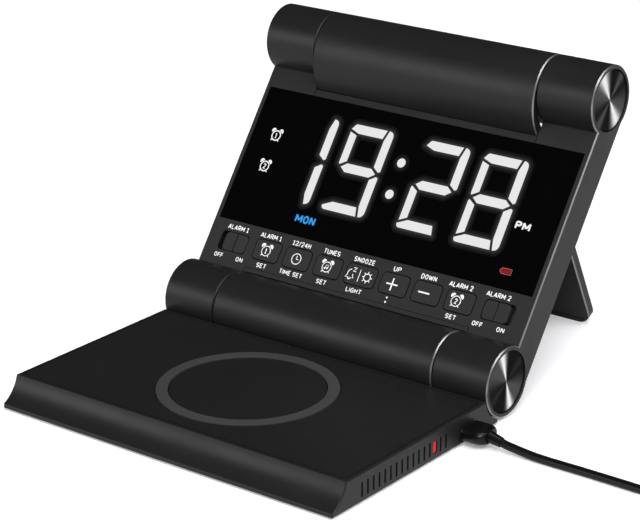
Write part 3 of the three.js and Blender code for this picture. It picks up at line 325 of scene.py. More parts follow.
# Disc steel for each hinge axis, its painted highlight wedges turned and shaped for that axis
LOWER_SPUN_PAINTED_HIGHLIGHTS = spun_steel("lower_spun_steel_painted_highlights", PANEL @ Vector((0, 0, 0)), 105.0, 33.0, 0.016)
UPPER_SPUN_PAINTED_HIGHLIGHTS = spun_steel("upper_spun_steel_painted_highlights", PANEL @ Vector((0, AXIS_SPACING, 0)), 118.0, 15.0, 0.075)
DIGIT = lit("digit_white", (0.72, 0.715, 0.71))
ICON = lit("icon_white", (0.84, 0.84, 0.84))
BLUE = lit("weekday_blue", (0.025, 0.32, 0.78))
BATTERY_RIM = lit("battery_rim", (0.40, 0.10, 0.10))
BATTERY_CELL = lit("battery_cell", (0.34, 0.010, 0.014), ripple=0.4)
LIGHT = lit("charge_red", (0.80, 0.012, 0.010), ripple=0.3)

BY_SLOT = {
    "shell": SHELL, "key": KEY, "screen": WINDOW, "board": BOARD, "rubber": RUBBER,
    "silicone": SILICONE, "brushed": LOWER_SPUN_PAINTED_HIGHLIGHTS, "steel": STEEL, "copper": COPPER,
    "ferrite": FERRITE, "light": LIGHT, "cable": CABLE,
}
for entry in frame["record"]["subparts"]:
    node = NODES[entry["node"]]
    node.data.materials.clear()
    node.data.materials.append(BY_SLOT[entry["material_slot"]])
for name in ("upper_disc_left", "upper_disc_right"):
    NODES[name].data.materials[0] = UPPER_SPUN_PAINTED_HIGHLIGHTS

# Edges of the solids: welded, broken by a small radius and shaded smooth round their curves
MESH = {"Geometry": "Geometry"}
WELD_REACH = 1e-6
FLAT_ANGLE = math.radians(0.5)
SHARP_ANGLE = math.radians(30)
BEVEL_ANGLE = math.radians(35)
BEVEL_STEPS = 2
# Bevel widths in millimetres
KEY_EDGE = 0.15
EDGES = {
    "base_tray": 0.25, "base_top_plate": 0.2, "panel_back_cover": 0.2, "cell_door": 0.2,
    "leg_foot": 0.3, "grip_ring": 0.2, "usb_c_tip": 0.2, "usb_a_plug": 0.4, "usb_a_shell": 0.12,
    "usb_socket": 0.1, "charge_light": 0.1, "cable_tie": 0.15,
}
# Painted edge highlights, a light metallic finish on chamfers: the pieces that have them, their depth in
# metres, and how far sideways they face
PAINTED_HIGHLIGHT_NODES = ("panel_housing", "base_hinge_barrel", "rear_leg")
PAINTED_HIGHLIGHT_REACH = 0.0006
PAINTED_HIGHLIGHT_FACING = (0.6, 0.8)
PAINTED_HIGHLIGHT_SLOT = 1
# Flat front of the panel, with the lighter face plastic that is partly painted light: how straight it faces
# outward, and how near its level it lies in metres
FRONT_FACING = 0.99
FRONT_REACH = 0.00005
FRONT_SLOT = 2


def smoothing_group():
    """Smooth shading with the sharp edges kept, as a modifier."""
    group, given, end = make_group("smooth_by_angle", MESH, MESH, "GeometryNodeTree")
    angle = add_node(group, "GeometryNodeInputMeshEdgeAngle").outputs["Unsigned Angle"]
    blunt = add_node(group, "FunctionNodeCompare", {0: angle, 1: SHARP_ANGLE}, operation="LESS_THAN")
    faces = add_node(group, "GeometryNodeSetShadeSmooth", {
        "Geometry": given["Geometry"],
    }, domain="FACE")
    edges = add_node(group, "GeometryNodeSetShadeSmooth", {
        "Geometry": faces.outputs["Geometry"], "Shade Smooth": blunt.outputs["Result"],
    }, domain="EDGE")
    feed(group, end, {"Geometry": edges.outputs["Geometry"]})
    return group


def along(tree, way):
    """How far each face points along a way, and how far out along it the face lies."""
    measures = []
    for label in ("Normal", "Position"):
        vector = add_node(tree, "GeometryNodeInput" + label).outputs[label]
        product = add_node(tree, "ShaderNodeVectorMath", {0: vector, 1: way}, operation="DOT_PRODUCT")
        measures.append(product.outputs["Value"])
    return measures


def put_finish(group, given, end, slot, chosen):
    """Ends a group by putting the finish of a material slot on the chosen faces."""
    finish = add_node(group, "GeometryNodeSetMaterialIndex", {
        "Geometry": given["Geometry"], "Selection": chosen, "Material Index": slot,
    })
    feed(group, end, {"Geometry": finish.outputs["Geometry"]})


def painted_highlight_edge_group(name, reach):
    """The painted highlight finish on edge breaks that face half sideways, further than reach from the
    middle.
    """
    group, given, end = make_group(name + "_painted_edge_highlights", MESH, MESH, "GeometryNodeTree")
    facing, place = (add_maths(group, "ABSOLUTE", measure) for measure in along(group, (1, 0, 0)))
    low, high = PAINTED_HIGHLIGHT_FACING
    half_sideways = add_maths(group, "MULTIPLY", add_maths(group, "GREATER_THAN", facing, low),
                              add_maths(group, "LESS_THAN", facing, high))
    outside = add_maths(group, "GREATER_THAN", place, reach)
    put_finish(group, given, end, PAINTED_HIGHLIGHT_SLOT, add_maths(group, "MULTIPLY", half_sideways, outside))
    return group


def front_group():
    """The lighter face finish, partly painted light, on the flat front of the panel."""
    group, given, end = make_group("panel_front", MESH, MESH, "GeometryNodeTree")
    outward = (PANEL.to_3x3() @ Vector((0, 0, 1))).normalized()
    facing, level = along(group, outward)
    off = add_maths(group, "SUBTRACT", level, (PANEL @ Vector((0, 0, FACE_N))).dot(outward))
    on_level = add_maths(group, "LESS_THAN", add_maths(group, "ABSOLUTE", off), FRONT_REACH)
    straight = add_maths(group, "GREATER_THAN", facing, FRONT_FACING)
    put_finish(group, given, end, FRONT_SLOT, add_maths(group, "MULTIPLY", on_level, straight))
    return group


SMOOTH = smoothing_group()


def add_modifier(obj, name, kind, **settings):
    modifier = obj.modifiers.new(name, kind)
    for label, value in settings.items():
        setattr(modifier, label, value)


def soften(obj, width):
    """Welds a node, puts painted highlights on its end chamfers and the lighter, partly painted-light face
    finish on its front, bevels its sharp edges and shades it smooth.
    """
    add_modifier(obj, "weld", "WELD", merge_threshold=WELD_REACH)
    add_modifier(obj, "flats", "DECIMATE", decimate_type="DISSOLVE", angle_limit=FLAT_ANGLE)
    if obj.name in PAINTED_HIGHLIGHT_NODES:
        obj.data.materials.append(PAINTED_EDGE_HIGHLIGHT)
        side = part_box(obj.name)[1][0]
        add_modifier(obj, "painted_chamfers", "NODES", node_group=painted_highlight_edge_group(obj.name, side - PAINTED_HIGHLIGHT_REACH))
    if obj.name == "panel_housing":
        obj.data.materials.append(FACE)
        add_modifier(obj, "front", "NODES", node_group=front_group())
    if width:
        add_modifier(obj, "edges", "BEVEL", width=width * MM, segments=BEVEL_STEPS,
                     limit_method="ANGLE", angle_limit=BEVEL_ANGLE, use_clamp_overlap=True)
    add_modifier(obj, "shading", "NODES", node_group=SMOOTH)
    add_modifier(obj, "normals", "WEIGHTED_NORMAL", keep_sharp=True)


for name, node in NODES.items():
    soften(node, EDGES.get(name, KEY_EDGE if name.endswith(("_key", "_slider")) else 0.0))


# Modelling helpers
def only(*objects):
    """Selects these objects alone and makes the first one active."""
    bpy.ops.object.select_all(action="DESELECT")
    for obj in objects:
        obj.select_set(True)
    bpy.context.view_layer.objects.active = objects[0]


def apply_place(obj):
    only(obj)
    bpy.ops.object.transform_apply(location=True, rotation=True, scale=True)


def dress(obj, name, material, body):
    """Names a finished piece, and gives it its finish and its body."""
    obj.name = name
    obj.data.name = name
    obj.data.materials.clear()
    obj.data.materials.append(material)
    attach(obj, body)


# Flat artwork, drawn in panel millimetres one unit thick, then pressed thin on the panel's face
HALF_THICK = 0.5
STROKE_STEPS = 1
CIRCLE_STEPS = 24
DOT_STEPS = 12


def one_thick(obj):
    """Makes a curve a mesh that runs from z = 0 to z = 1."""
    only(obj)
    bpy.ops.object.convert(target="MESH")
    obj = bpy.context.object
    heights = [vertex.co.z for vertex in obj.data.vertices]
    obj.scale.z = 1 / (max(heights) - min(heights))
    obj.location.z = -min(heights) * obj.scale.z
    apply_place(obj)
    return obj


def new_curve(lines, closed):
    """A flat curve of straight lines through points on the panel."""
    data = bpy.data.curves.new("artwork", "CURVE")
    for line in lines:
        spline = data.splines.new("POLY")
        spline.points.add(len(line) - 1)
        for point, (x, s) in zip(spline.points, line):
            point.co = (x, s, 0, 1)
        spline.use_cyclic_u = closed
    obj = bpy.data.objects.new("artwork", data)
    scene.collection.objects.link(obj)
    return obj


def filled(outline, grow=0.0):
    """A flat plate with this outline, anticlockwise, grown or shrunk all round."""
    obj = new_curve([outline], True)
    obj.data.dimensions = "2D"
    obj.data.fill_mode = "BOTH"
    obj.data.extrude = HALF_THICK
    obj.data.offset = grow
    return one_thick(obj)


def drawn(lines, width, closed=False):
    """Strokes of one width along lines of points."""
    obj = new_curve(lines, closed)
    obj.data.dimensions = "3D"
    obj.data.bevel_depth = width / 2
    obj.data.bevel_resolution = STROKE_STEPS
    obj.data.use_fill_caps = True
    return one_thick(obj)


def about(x, s, points):
    """Points moved from about (0, 0) to about (x, s)."""
    return [(x + px, s + ps) for px, ps in points]


def away_from(x, s, reach, degrees):
    """The point at a reach and an angle from (x, s)."""
    angle = math.radians(degrees)
    return (x + reach * math.cos(angle), s + reach * math.sin(angle))


def arc(x, s, radius, start=0.0, end=360.0, steps=CIRCLE_STEPS):
    """Points round (x, s); angles in degrees, with the last point of a full circle left out."""
    last = steps if end - start >= 360 else steps + 1
    return [away_from(x, s, radius, start + (end - start) * step / steps) for step in range(last)]


def oval(x, s, across, upward, start=0.0, end=360.0, steps=DOT_STEPS):
    """Points round an oval; angles in degrees."""
    return [(x + across * px, s + upward * ps) for px, ps in arc(0, 0, 1, start, end, steps)]


def glyph_strokes():
    """Plain narrow capitals and figures, as strokes on a height of one."""
    stem = [(0, 0), (0, 1)]
    bowl = [(0, 1), *oval(0.22, 0.74, 0.24, 0.26, 90, -90, 8), (0, 0.48)]
    curl = [*oval(0.23, 0.74, 0.23, 0.26, 25, 270, 8), *oval(0.23, 0.24, 0.23, 0.24, 90, -155, 8)]
    hook = oval(0.24, 0.5, 0.24, 0.5, 40, 360)
    return {
        "A": [[(0, 0), (0.27, 1)], [(0.27, 1), (0.54, 0)], [(0.1, 0.28), (0.44, 0.28)]],
        "D": [stem, [(0, 1), *oval(0.16, 0.5, 0.32, 0.5, 90, -90, 10), (0, 0)]],
        "E": [stem, [(0, 1), (0.4, 1)], [(0, 0.52), (0.36, 0.52)], [(0, 0), (0.4, 0)]],
        "F": [stem, [(0, 1), (0.4, 1)], [(0, 0.5), (0.36, 0.5)]],
        "G": [hook, [(0.48, 0), (0.48, 0.48)], [(0.26, 0.48), (0.48, 0.48)]],
        "H": [stem, [(0.46, 0), (0.46, 1)], [(0, 0.52), (0.46, 0.52)]],
        "I": [stem],
        "L": [stem, [(0, 0), (0.38, 0)]],
        "M": [stem, [(0, 1), (0.31, 0.25)], [(0.31, 0.25), (0.62, 1)], [(0.62, 0), (0.62, 1)]],
        "N": [stem, [(0, 1), (0.46, 0)], [(0.46, 0), (0.46, 1)]],
        "O": [[*oval(0.24, 0.5, 0.24, 0.5), (0.48, 0.5)]],
        "P": [stem, bowl],
        "R": [stem, bowl, [(0.22, 0.48), (0.48, 0)]],
        "S": [curl],
        "T": [[(0, 1), (0.46, 1)], [(0.23, 1), (0.23, 0)]],
        "U": [[(0, 1), *oval(0.23, 0.26, 0.23, 0.26, 180, 360, 8), (0.46, 1)]],
        "W": [[(0, 1), (0.18, 0)], [(0.18, 0), (0.36, 0.9)], [(0.36, 0.9), (0.54, 0)],
              [(0.54, 0), (0.72, 1)]],
        "Z": [[(0, 1), (0.44, 1)], [(0.44, 1), (0, 0)], [(0, 0), (0.44, 0)]],
        "1": [[(0, 0.8), (0.18, 1)], [(0.18, 0), (0.18, 1)], [(0, 0), (0.36, 0)]],
        "2": [[*oval(0.23, 0.73, 0.23, 0.27, 165, -35, 8), (0, 0)], [(0, 0), (0.47, 0)]],
        "4": [[(0.36, 0), (0.36, 1)], [(0.36, 1), (0, 0.28)], [(0, 0.28), (0.5, 0.28)]],
        "/": [[(0, -0.06), (0.3, 1.06)]],
        " ": [[(0, 0), (0.12, 0)]],
    }


GLYPHS = glyph_strokes()
LETTER_GAP = 0.25


def lettered(text, x0, x1, baseline, cap, stroke):
    """Lettering that runs from x0 to x1 on a baseline, with capitals of height cap."""
    lines = []
    reach = 0.0
    for letter in text:
        strokes = GLYPHS[letter]
        if letter != " ":
            lines += [about(reach, 0, points) for points in strokes]
        reach += max(px for points in strokes for px, _ in points) + LETTER_GAP
    across = (x1 - x0 - stroke) / (reach - LETTER_GAP)
    upward = cap - stroke
    left = x0 + stroke / 2
    low = baseline + stroke / 2
    placed = [[(left + px * across, low + ps * upward) for px, ps in points] for points in lines]
    return drawn(placed, stroke)


def press(name, parts, material, body, level, thick):
    """Joins flat artwork into one piece, presses it thin and sets it on the panel at a level."""
    only(*parts)
    if len(parts) > 1:
        bpy.ops.object.join()
    obj = bpy.context.object
    obj.matrix_world = PANEL @ Matrix.Translation((0, 0, level)) @ Matrix.Diagonal((1, 1, thick, 1))
    apply_place(obj)
    dress(obj, name, material, body)


# Cable, in base millimetres: the route of the part's own solids, as one tube
DROOP = math.radians(11)
BOOT = Vector((math.cos(DROOP), 0, -math.sin(DROOP)))
BOOT_START = Vector((75.3, -21.5, 4.1))
BOOT_LENGTH = 5.0
BOOT_END = BOOT_START + BOOT_LENGTH * BOOT
BOOT_LEAD = 2.3
COIL_X = 156.0
COIL_Y = 1.5
COIL_TURNS = 3.75
COIL_PITCH = 3.3
COIL_OUT = 22.8
COIL_IN = COIL_OUT - COIL_TURNS * COIL_PITCH
COIL_LOW = 2.3
COIL_RISE = 3.3
COIL_DIP = 1.4
CLIMB_TURN = 0.5
EXIT_TURN = 0.5
EXIT_R = 31.5
EXIT_Z = 4.3
EXIT_LEAD = 2.8
FLOOR_GAP = 0.1
FLOOR_Z = CABLE_R + FLOOR_GAP
# Shares of the last half turn in which the cable comes down to the floor, and rises to its plug
COME_DOWN = (0.1, 0.6)
RISE_UP = (0.68, 1.0)
LEAST_SPAN = 1e-6
RUN_STEPS = 8
COIL_STEPS = 306
TUBE_STEPS = 4


def spline_through(points, per_span):
    """Centripetal spline through the points, as the part draws its run."""
    pts = [2 * points[0] - points[1], *points, 2 * points[-1] - points[-2]]
    out = []
    for p0, p1, p2, p3 in zip(pts, pts[1:], pts[2:], pts[3:]):
        spans = ((p0, p1), (p1, p2), (p2, p3))
        d0, d1, d2 = (max(LEAST_SPAN, math.sqrt((b - a).length)) for a, b in spans)
        m1 = ((p1 - p0) / d0 - (p2 - p0) / (d0 + d1) + (p2 - p1) / d1) * d1
        m2 = ((p2 - p1) / d1 - (p3 - p1) / (d1 + d2) + (p3 - p2) / d2) * d1
        for k in range(per_span):
            t = k / per_span
            out.append(p1 * (2 * t**3 - 3 * t**2 + 1) + m1 * (t**3 - 2 * t**2 + t)
                       + p2 * (3 * t**2 - 2 * t**3) + m2 * (t**3 - t**2))
    return out + [points[-1]]


def ease(value, low, high):
    """A smooth step from 0 at low to 1 at high."""
    t = min(1.0, max(0.0, (value - low) / (high - low)))
    return t * t * (3 - 2 * t)


def coil_point(turn):
    """In on the lower layer, up in half a turn, out on the upper layer, then half a turn away."""
    climbed = COIL_TURNS + CLIMB_TURN
    wound = climbed + COIL_TURNS
    z = COIL_LOW + COIL_RISE * ease(turn, COIL_TURNS, climbed)
    if turn <= COIL_TURNS:
        radius = COIL_OUT - turn * COIL_PITCH
    elif turn <= climbed:
        radius = COIL_IN - COIL_DIP * math.sin(math.pi * (turn - COIL_TURNS) / CLIMB_TURN)
    elif turn <= wound:
        radius = COIL_IN + (turn - climbed) * COIL_PITCH
    else:
        away = (turn - wound) / EXIT_TURN
        radius = COIL_OUT + (EXIT_R - COIL_OUT) * ease(away, 0, 1)
        z += (FLOOR_Z - z) * ease(away, *COME_DOWN) + (EXIT_Z - FLOOR_Z) * ease(away, *RISE_UP)
    angle = math.tau * turn - math.pi / 2
    return Vector((COIL_X + radius * math.cos(angle), COIL_Y + radius * math.sin(angle), z))


def cable_route():
    run = [
        BOOT_END,
        BOOT_END + BOOT_LEAD * BOOT,
        Vector((86, -21.5, 2.3)),
        Vector((92, -21.4, 1.65)),
        Vector((98, -21.3, 1.45)),
        Vector((110, -21.2, 1.45)),
        Vector((122, -21.3, 1.45)),
        Vector((134, -21.4, 1.45)),
        Vector((144, -21.3, 1.9)),
        Vector((150.9, -21.3, 2.3)),
    ]
    turns = 2 * COIL_TURNS + CLIMB_TURN + EXIT_TURN
    coil = [coil_point(turns * step / COIL_STEPS) for step in range(COIL_STEPS + 1)]
    end = coil[-1] - Vector((EXIT_LEAD, 0, 0))
    return [in_base(*place) for place in (*spline_through(run, RUN_STEPS), *coil, end)]


def make_cable():
    route = cable_route()
    data = bpy.data.curves.new("charging_cable", "CURVE")
    data.dimensions = "3D"
    data.bevel_depth = CABLE_R * MM
    data.bevel_resolution = TUBE_STEPS
    data.use_fill_caps = True
    spline = data.splines.new("POLY")
    spline.points.add(len(route) - 1)
    for point, place in zip(spline.points, route):
        point.co = (*place, 1)
    spline.use_smooth = True
    cable = bpy.data.objects.new("charging_cable", data)
    scene.collection.objects.link(cable)
    dress(cable, "charging_cable", CABLE, "base")
    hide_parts("cable_run", "cable_coil")


make_cable()

# Lit display on the window's face, in panel millimetres
LIT_LIFT = 0.012
LIT_THICK = 0.03


def on_display(name, parts, finish):
    press(name, parts, finish, "panel", FACE_N + LIT_LIFT, LIT_THICK)


# Digits: the left edge and the lit bars of 1, 9, 2 and 8, and the colon
DIGITS = ((-50.0, "bc"), (-26.4, "abcdfg"), (5.55, "abdeg"), (29.05, "abcdefg"))
DIGIT_S = 40.33
DIGIT_WIDTH = 19.0
DIGIT_HEIGHT = 33.2
DIGIT_GAP = 0.95
UPRIGHT = 4.15
BAR = 4.2
CORNER_STEPS = 6
COLON_X = -0.95
COLON_S = (63.0, 51.3)
COLON_R = 1.66
COLON_STEPS = 32
# Glow round the digits: its steps, how far each reaches, its lift off the window and its colour
GLOWS = (
    ("near", 0.25, 0.0075, (0.027, 0.027, 0.028)),
    ("middle", 0.6, 0.0055, (0.0125, 0.0125, 0.013)),
    ("far", 1.05, 0.0035, (0.0064, 0.0064, 0.0067)),
    ("outer", 1.6, 0.0015, (0.0026, 0.0026, 0.0028)),
)
GLOW_THICK = 0.002
GLOW_RIPPLE = 0.3
GLOW_STEPS = 3


def rounded(points):
    """An outline in which a corner with a third number is turned to a curve of that size."""
    corners = [Vector(point[:2]) for point in points]
    out = []
    for index, corner in enumerate(corners):
        if len(points[index]) < 3:
            out.append(tuple(corner))
            continue
        size = points[index][2]
        start = corner + size * (corners[index - 1] - corner).normalized()
        end = corner + size * (corners[(index + 1) % len(corners)] - corner).normalized()
        for step in range(CORNER_STEPS + 1):
            t = step / CORNER_STEPS
            out.append(tuple(start * (1 - t) ** 2 + corner * 2 * t * (1 - t) + end * t**2))
    return out


def swollen(outline, reach):
    """An anticlockwise outline grown by a reach, with round corners."""
    corners = [Vector(point) for point in outline]
    out = []
    for index, corner in enumerate(corners):
        inward = corner - corners[index - 1]
        onward = corners[(index + 1) % len(corners)] - corner
        first = math.atan2(-inward.x, inward.y)
        turn = math.atan2(inward.x * onward.y - inward.y * onward.x, inward.dot(onward))
        for step in range(GLOW_STEPS + 1):
            angle = first + turn * step / GLOW_STEPS
            out.append((corner.x + reach * math.cos(angle), corner.y + reach * math.sin(angle)))
    return out


def segment_outlines():
    """The seven bars of a digit, anticlockwise, each up to the middle of the gap to the next."""
    top, right = DIGIT_HEIGHT, DIGIT_WIDTH
    inner_left, inner_right = UPRIGHT, DIGIT_WIDTH - UPRIGHT
    under_top = top - BAR
    waist = top / 2
    over_waist, under_waist = waist + BAR / 2, waist - BAR / 2
    waist_out, waist_in = 1.0, 0.25
    lean = 1.1
    split = inner_right + lean
    tip = 1.3
    left, left_tip = 0.3, 1.1
    top_start = 1.9
    top_side, foot_side = 2.75, 2.2
    left_head, left_foot = 2.85, 2.35
    top_left_curve, top_right_curve = 0.9, 2.9
    foot_left_curve, foot_right_curve = 2.0, 3.0
    return {
        "a": [(0, top - top_side), (inner_left, under_top), (inner_right, under_top), (split, top),
              (top_start, top, top_left_curve)],
        "b": [(inner_right, over_waist), (right - tip, waist + waist_in), (right, waist + waist_out),
              (right, top, top_right_curve), (split, top), (inner_right, under_top)],
        "c": [(inner_right, BAR), (split, 0), (right, 0, foot_right_curve), (right, waist - waist_out),
              (right - tip, waist - waist_in), (inner_right, under_waist)],
        "d": [(0, 0, foot_left_curve), (split, 0), (inner_right, BAR), (inner_left, BAR), (0, foot_side)],
        "e": [(left, left_foot), (inner_left, BAR), (inner_left, under_waist), (left_tip, waist - waist_in),
              (left, waist - waist_out)],
        "f": [(left, waist + waist_out), (left_tip, waist + waist_in), (inner_left, over_waist),
              (inner_left, under_top), (left, top - left_head)],
        "g": [(tip, waist), (inner_left, under_waist), (inner_right, under_waist), (right - tip, waist),
              (inner_right, over_waist), (inner_left, over_waist)],
    }


def add_digits():
    """The lit digits and the colon, with their glow in steps behind them."""
    outlines = segment_outlines()
    bars = [about(x, DIGIT_S, rounded(outlines[bar])) for x, lit_bars in DIGITS for bar in lit_bars]
    dots = [arc(COLON_X, s, COLON_R, steps=COLON_STEPS) for s in COLON_S]
    plates = [filled(bar, -DIGIT_GAP / 2) for bar in bars] + [filled(dot) for dot in dots]
    on_display("display_digits", plates, DIGIT)
    for name, reach, lift, colour in GLOWS:
        plates = [filled(swollen(shape, reach)) for shape in bars + dots]
        finish = lit(name + "_glow", colour, GLOW_RIPPLE)
        press(f"display_{name}_glow", plates, finish, "panel", FACE_N + lift, GLOW_THICK)


add_digits()

# Alarm clock sign: angles in degrees, sizes as shares of its radius
ALARM_R = 1.8
BELL_LEAN = 42
BELL_REACH = 1.3
BELL_R = 0.52
BELL_HALF = 98
FOOT_LEAN = 40
FOOT_REACH = (1.0, 1.42)
MARK_HALF = {"1": 0.24, "2": 0.34}
MARK_HEIGHT = 1.12
MARK_STROKE = 0.2


def alarm_sign(x, s, line, mark=None):
    """Twin-bell alarm clock: a ring with two bells and two feet, and a number where mark is given."""
    parts = [drawn([arc(x, s, ALARM_R)], line, closed=True)]
    for side in (-1, 1):
        lean = 90 - BELL_LEAN * side
        bell_x, bell_s = away_from(x, s, BELL_REACH * ALARM_R, lean)
        bell = arc(bell_x, bell_s, BELL_R * ALARM_R, lean - BELL_HALF, lean + BELL_HALF, DOT_STEPS)
        parts.append(filled(bell))
        foot = [away_from(x, s, reach * ALARM_R, FOOT_LEAN * side - 90) for reach in FOOT_REACH]
        parts.append(drawn([foot], line))
    if mark:
        half = MARK_HALF[mark] * ALARM_R
        height = MARK_HEIGHT * ALARM_R
        parts.append(lettered(mark, x - half, x + half, s - height / 2, height, MARK_STROKE * ALARM_R))
    return parts


# Signs and words on the display: places, and for words their ends, baseline and height
DISPLAY_ALARMS = (("1", -55.6, 62.6), ("2", -55.5, 50.8))
DISPLAY_LINE = 0.46
AFTERNOON = ("PM", 50.45, 56.35, 49.8, 2.95)
WEEKDAY = ("MON", -34.55, -26.0, 33.9, 3.1)
WORD_STROKE = 0.68


def add_display_signs():
    signs = []
    for mark, x, s in DISPLAY_ALARMS:
        signs += alarm_sign(x, s, DISPLAY_LINE, mark)
    signs.append(lettered(*AFTERNOON, WORD_STROKE))
    on_display("display_signs", signs, ICON)
    on_display("display_weekday", [lettered(*WEEKDAY, WORD_STROKE)], BLUE)


add_display_signs()

# Battery sign
BATTERY_X = (51.1, 55.4)
BATTERY_S = (34.2, 36.1)
BATTERY_TIP = (0.7, 0.65)
BATTERY_LINE = 0.3
CELLS = 4
CELL_INSET = 0.3
CELL_GAP = 0.12


def add_battery():
    """A rim with its tip to the left, round four cells."""
    left, right = BATTERY_X
    low, high = BATTERY_S
    tip_x, tip_s = BATTERY_TIP
    rim = [(right, low), (right, high), (left + tip_x, high), (left, high - tip_s), (left, low + tip_s),
           (left + tip_x, low)]
    on_display("battery_outline", [drawn([rim], BATTERY_LINE, closed=True)], BATTERY_RIM)
    step = (right - left - 2 * CELL_INSET) / CELLS
    low += CELL_INSET
    high -= CELL_INSET
    cells = []
    for index in range(CELLS):
        x0 = left + CELL_INSET + index * step + CELL_GAP / 2
        x1 = x0 + step - CELL_GAP
        cells.append(filled([(x0, low), (x1, low), (x1, high), (x0, high)]))
    on_display("battery_cells", cells, BATTERY_CELL)


add_battery()

# Printed labels on the panel's face: the words with their left and right ends
PRINT_LIFT = 0.004
PRINT_THICK = 0.02
LABEL_STROKE = 0.35
UPPER_BASELINE = 25.75
UPPER_CAP = 1.85
UPPER_LABELS = (
    ("ALARM 1", -60.7, -51.4), ("ALARM 1", -45.9, -36.6), ("12/24H", -31.7, -23.8),
    ("TUNES", -18.1, -11.0), ("SNOOZE", -5.0, 3.7), ("UP", 11.6, 14.7), ("DOWN", 23.0, 29.3),
    ("ALARM 2", 34.4, 43.9), ("ALARM 2", 49.3, 58.8),
)
LOWER_BASELINE = 14.85
LOWER_CAP = 1.75
LOWER_LABELS = (
    ("OFF", -62.2, -58.3), ("ON", -52.5, -49.4), ("SET", -43.1, -38.8), ("TIME SET", -32.9, -22.9),
    ("SET", -16.7, -12.4), ("LIGHT", -3.9, 2.6), ("SET", 37.2, 41.5), ("OFF", 47.9, 52.0),
    ("ON", 57.5, 60.6),
)
LABEL_DOTS = ((13.05, 16.4), (13.05, 14.8))
LABEL_DOT_R = 0.36


def add_labels():
    labels = [lettered(*label, UPPER_BASELINE, UPPER_CAP, LABEL_STROKE) for label in UPPER_LABELS]
    labels += [lettered(*label, LOWER_BASELINE, LOWER_CAP, LABEL_STROKE) for label in LOWER_LABELS]
    labels += [filled(arc(x, s, LABEL_DOT_R, steps=DOT_STEPS)) for x, s in LABEL_DOTS]
    press("panel_labels", labels, PRINT, "panel", FACE_N + PRINT_LIFT, PRINT_THICK)


add_labels()

# Signs on the keys, each of which goes down with its key; they sit a little left of the keys' middles
SIGN_S = 21.2
SIGN_SHIFT = {
    "alarm_1_key": -0.4, "time_key": -0.3, "tunes_key": -0.45, "snooze_key": -0.3,
    "up_key": -0.85, "down_key": -1.1, "alarm_2_key": -1.5,
}
SIGN_LINE = 0.34
# Clock hands and musical note, about the sign's middle
CLOCK_R = 1.9
HANDS = ((0, 1.2), (0, -0.1), (0.9, -0.1))
NOTE = ((-0.35, -0.5), (-0.35, 0.65), (0.65, 0.8), (0.65, -0.35))
NOTE_HEADS = ((-0.62, -0.5), (0.38, -0.35))
NOTE_HEAD_R = 0.36
NOTE_LINE = 0.24
# Snooze bell with its clapper and sleep letter, divider and sun, each about its own middle
BELL_X = -4.0
BELL = ((0.2, 1.5), (0.0, 1.55), (-0.65, 1.3), (-1.1, 0.4), (-1.1, -0.6), (-1.7, -1.4), (1.7, -1.4),
        (1.1, -0.6), (1.1, 0.0))
CLAPPER_DROP = 1.4
CLAPPER_R = 0.6
CLAPPER_ARC = (180, 355, 8)
SLEEP_LETTER = ((0.8, 2.3), (2.0, 2.3), (0.8, 1.0), (2.0, 1.0))
SLEEP_LINE = 0.4
DIVIDER = ((-0.3, -2.2), (-0.3, 2.2))
DIVIDER_LINE = 0.3
SUN_X = 3.05
SUN_R = 1.3
RAYS = 8
RAY_REACH = (1.45, 2.1)
# Plus and minus
LEVEL_BAR = ((-2.3, 0), (2.3, 0))
UPRIGHT_BAR = ((0, -2.2), (0, 2.2))
PLUS_LINE = 0.56
MINUS_LINE = 0.58


def time_sign(x):
    ring = drawn([arc(x, SIGN_S, CLOCK_R)], SIGN_LINE, closed=True)
    return [ring, drawn([about(x, SIGN_S, HANDS)], SIGN_LINE)]


def tunes_sign(x):
    """An alarm clock with a double note in it."""
    places = about(x, SIGN_S, NOTE_HEADS)
    heads = [filled(arc(*place, NOTE_HEAD_R, steps=DOT_STEPS)) for place in places]
    return alarm_sign(x, SIGN_S, SIGN_LINE) + heads + [drawn([about(x, SIGN_S, NOTE)], NOTE_LINE)]


def snooze_sign(x):
    """A bell with a sleep letter, a divider and a sun."""
    bell_x = x + BELL_X
    sun_x = x + SUN_X
    turns = [360 * ray / RAYS for ray in range(RAYS)]
    rays = [[away_from(sun_x, SIGN_S, reach, turn) for reach in RAY_REACH] for turn in turns]
    return [
        drawn([about(bell_x, SIGN_S, BELL)], SIGN_LINE),
        drawn([arc(bell_x, SIGN_S - CLAPPER_DROP, CLAPPER_R, *CLAPPER_ARC)], SIGN_LINE),
        drawn([about(bell_x, SIGN_S, SLEEP_LETTER)], SLEEP_LINE),
        drawn([about(x, SIGN_S, DIVIDER)], DIVIDER_LINE),
        drawn([arc(sun_x, SIGN_S, SUN_R)], SIGN_LINE, closed=True),
        drawn(rays, SIGN_LINE),
    ]


def plus_sign(x):
    return [drawn([about(x, SIGN_S, LEVEL_BAR), about(x, SIGN_S, UPRIGHT_BAR)], PLUS_LINE)]


def minus_sign(x):
    return [drawn([about(x, SIGN_S, LEVEL_BAR)], MINUS_LINE)]


def alarm_1_sign(x):
    return alarm_sign(x, SIGN_S, SIGN_LINE, "1")


def alarm_2_sign(x):
    return alarm_sign(x, SIGN_S, SIGN_LINE, "2")


KEY_SIGNS = {
    "alarm_1_key": alarm_1_sign, "alarm_2_key": alarm_2_sign, "time_key": time_sign,
    "tunes_key": tunes_sign, "snooze_key": snooze_sign, "up_key": plus_sign, "down_key": minus_sign,
}
for key, sign in KEY_SIGNS.items():
    low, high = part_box(key)
    middle = (low[0] + high[0]) / 2 / MM
    parts = sign(middle + SIGN_SHIFT[key])
    press(key + "_sign", parts, PRINT, key, KEY_TOP_N + PRINT_LIFT, PRINT_THICK)

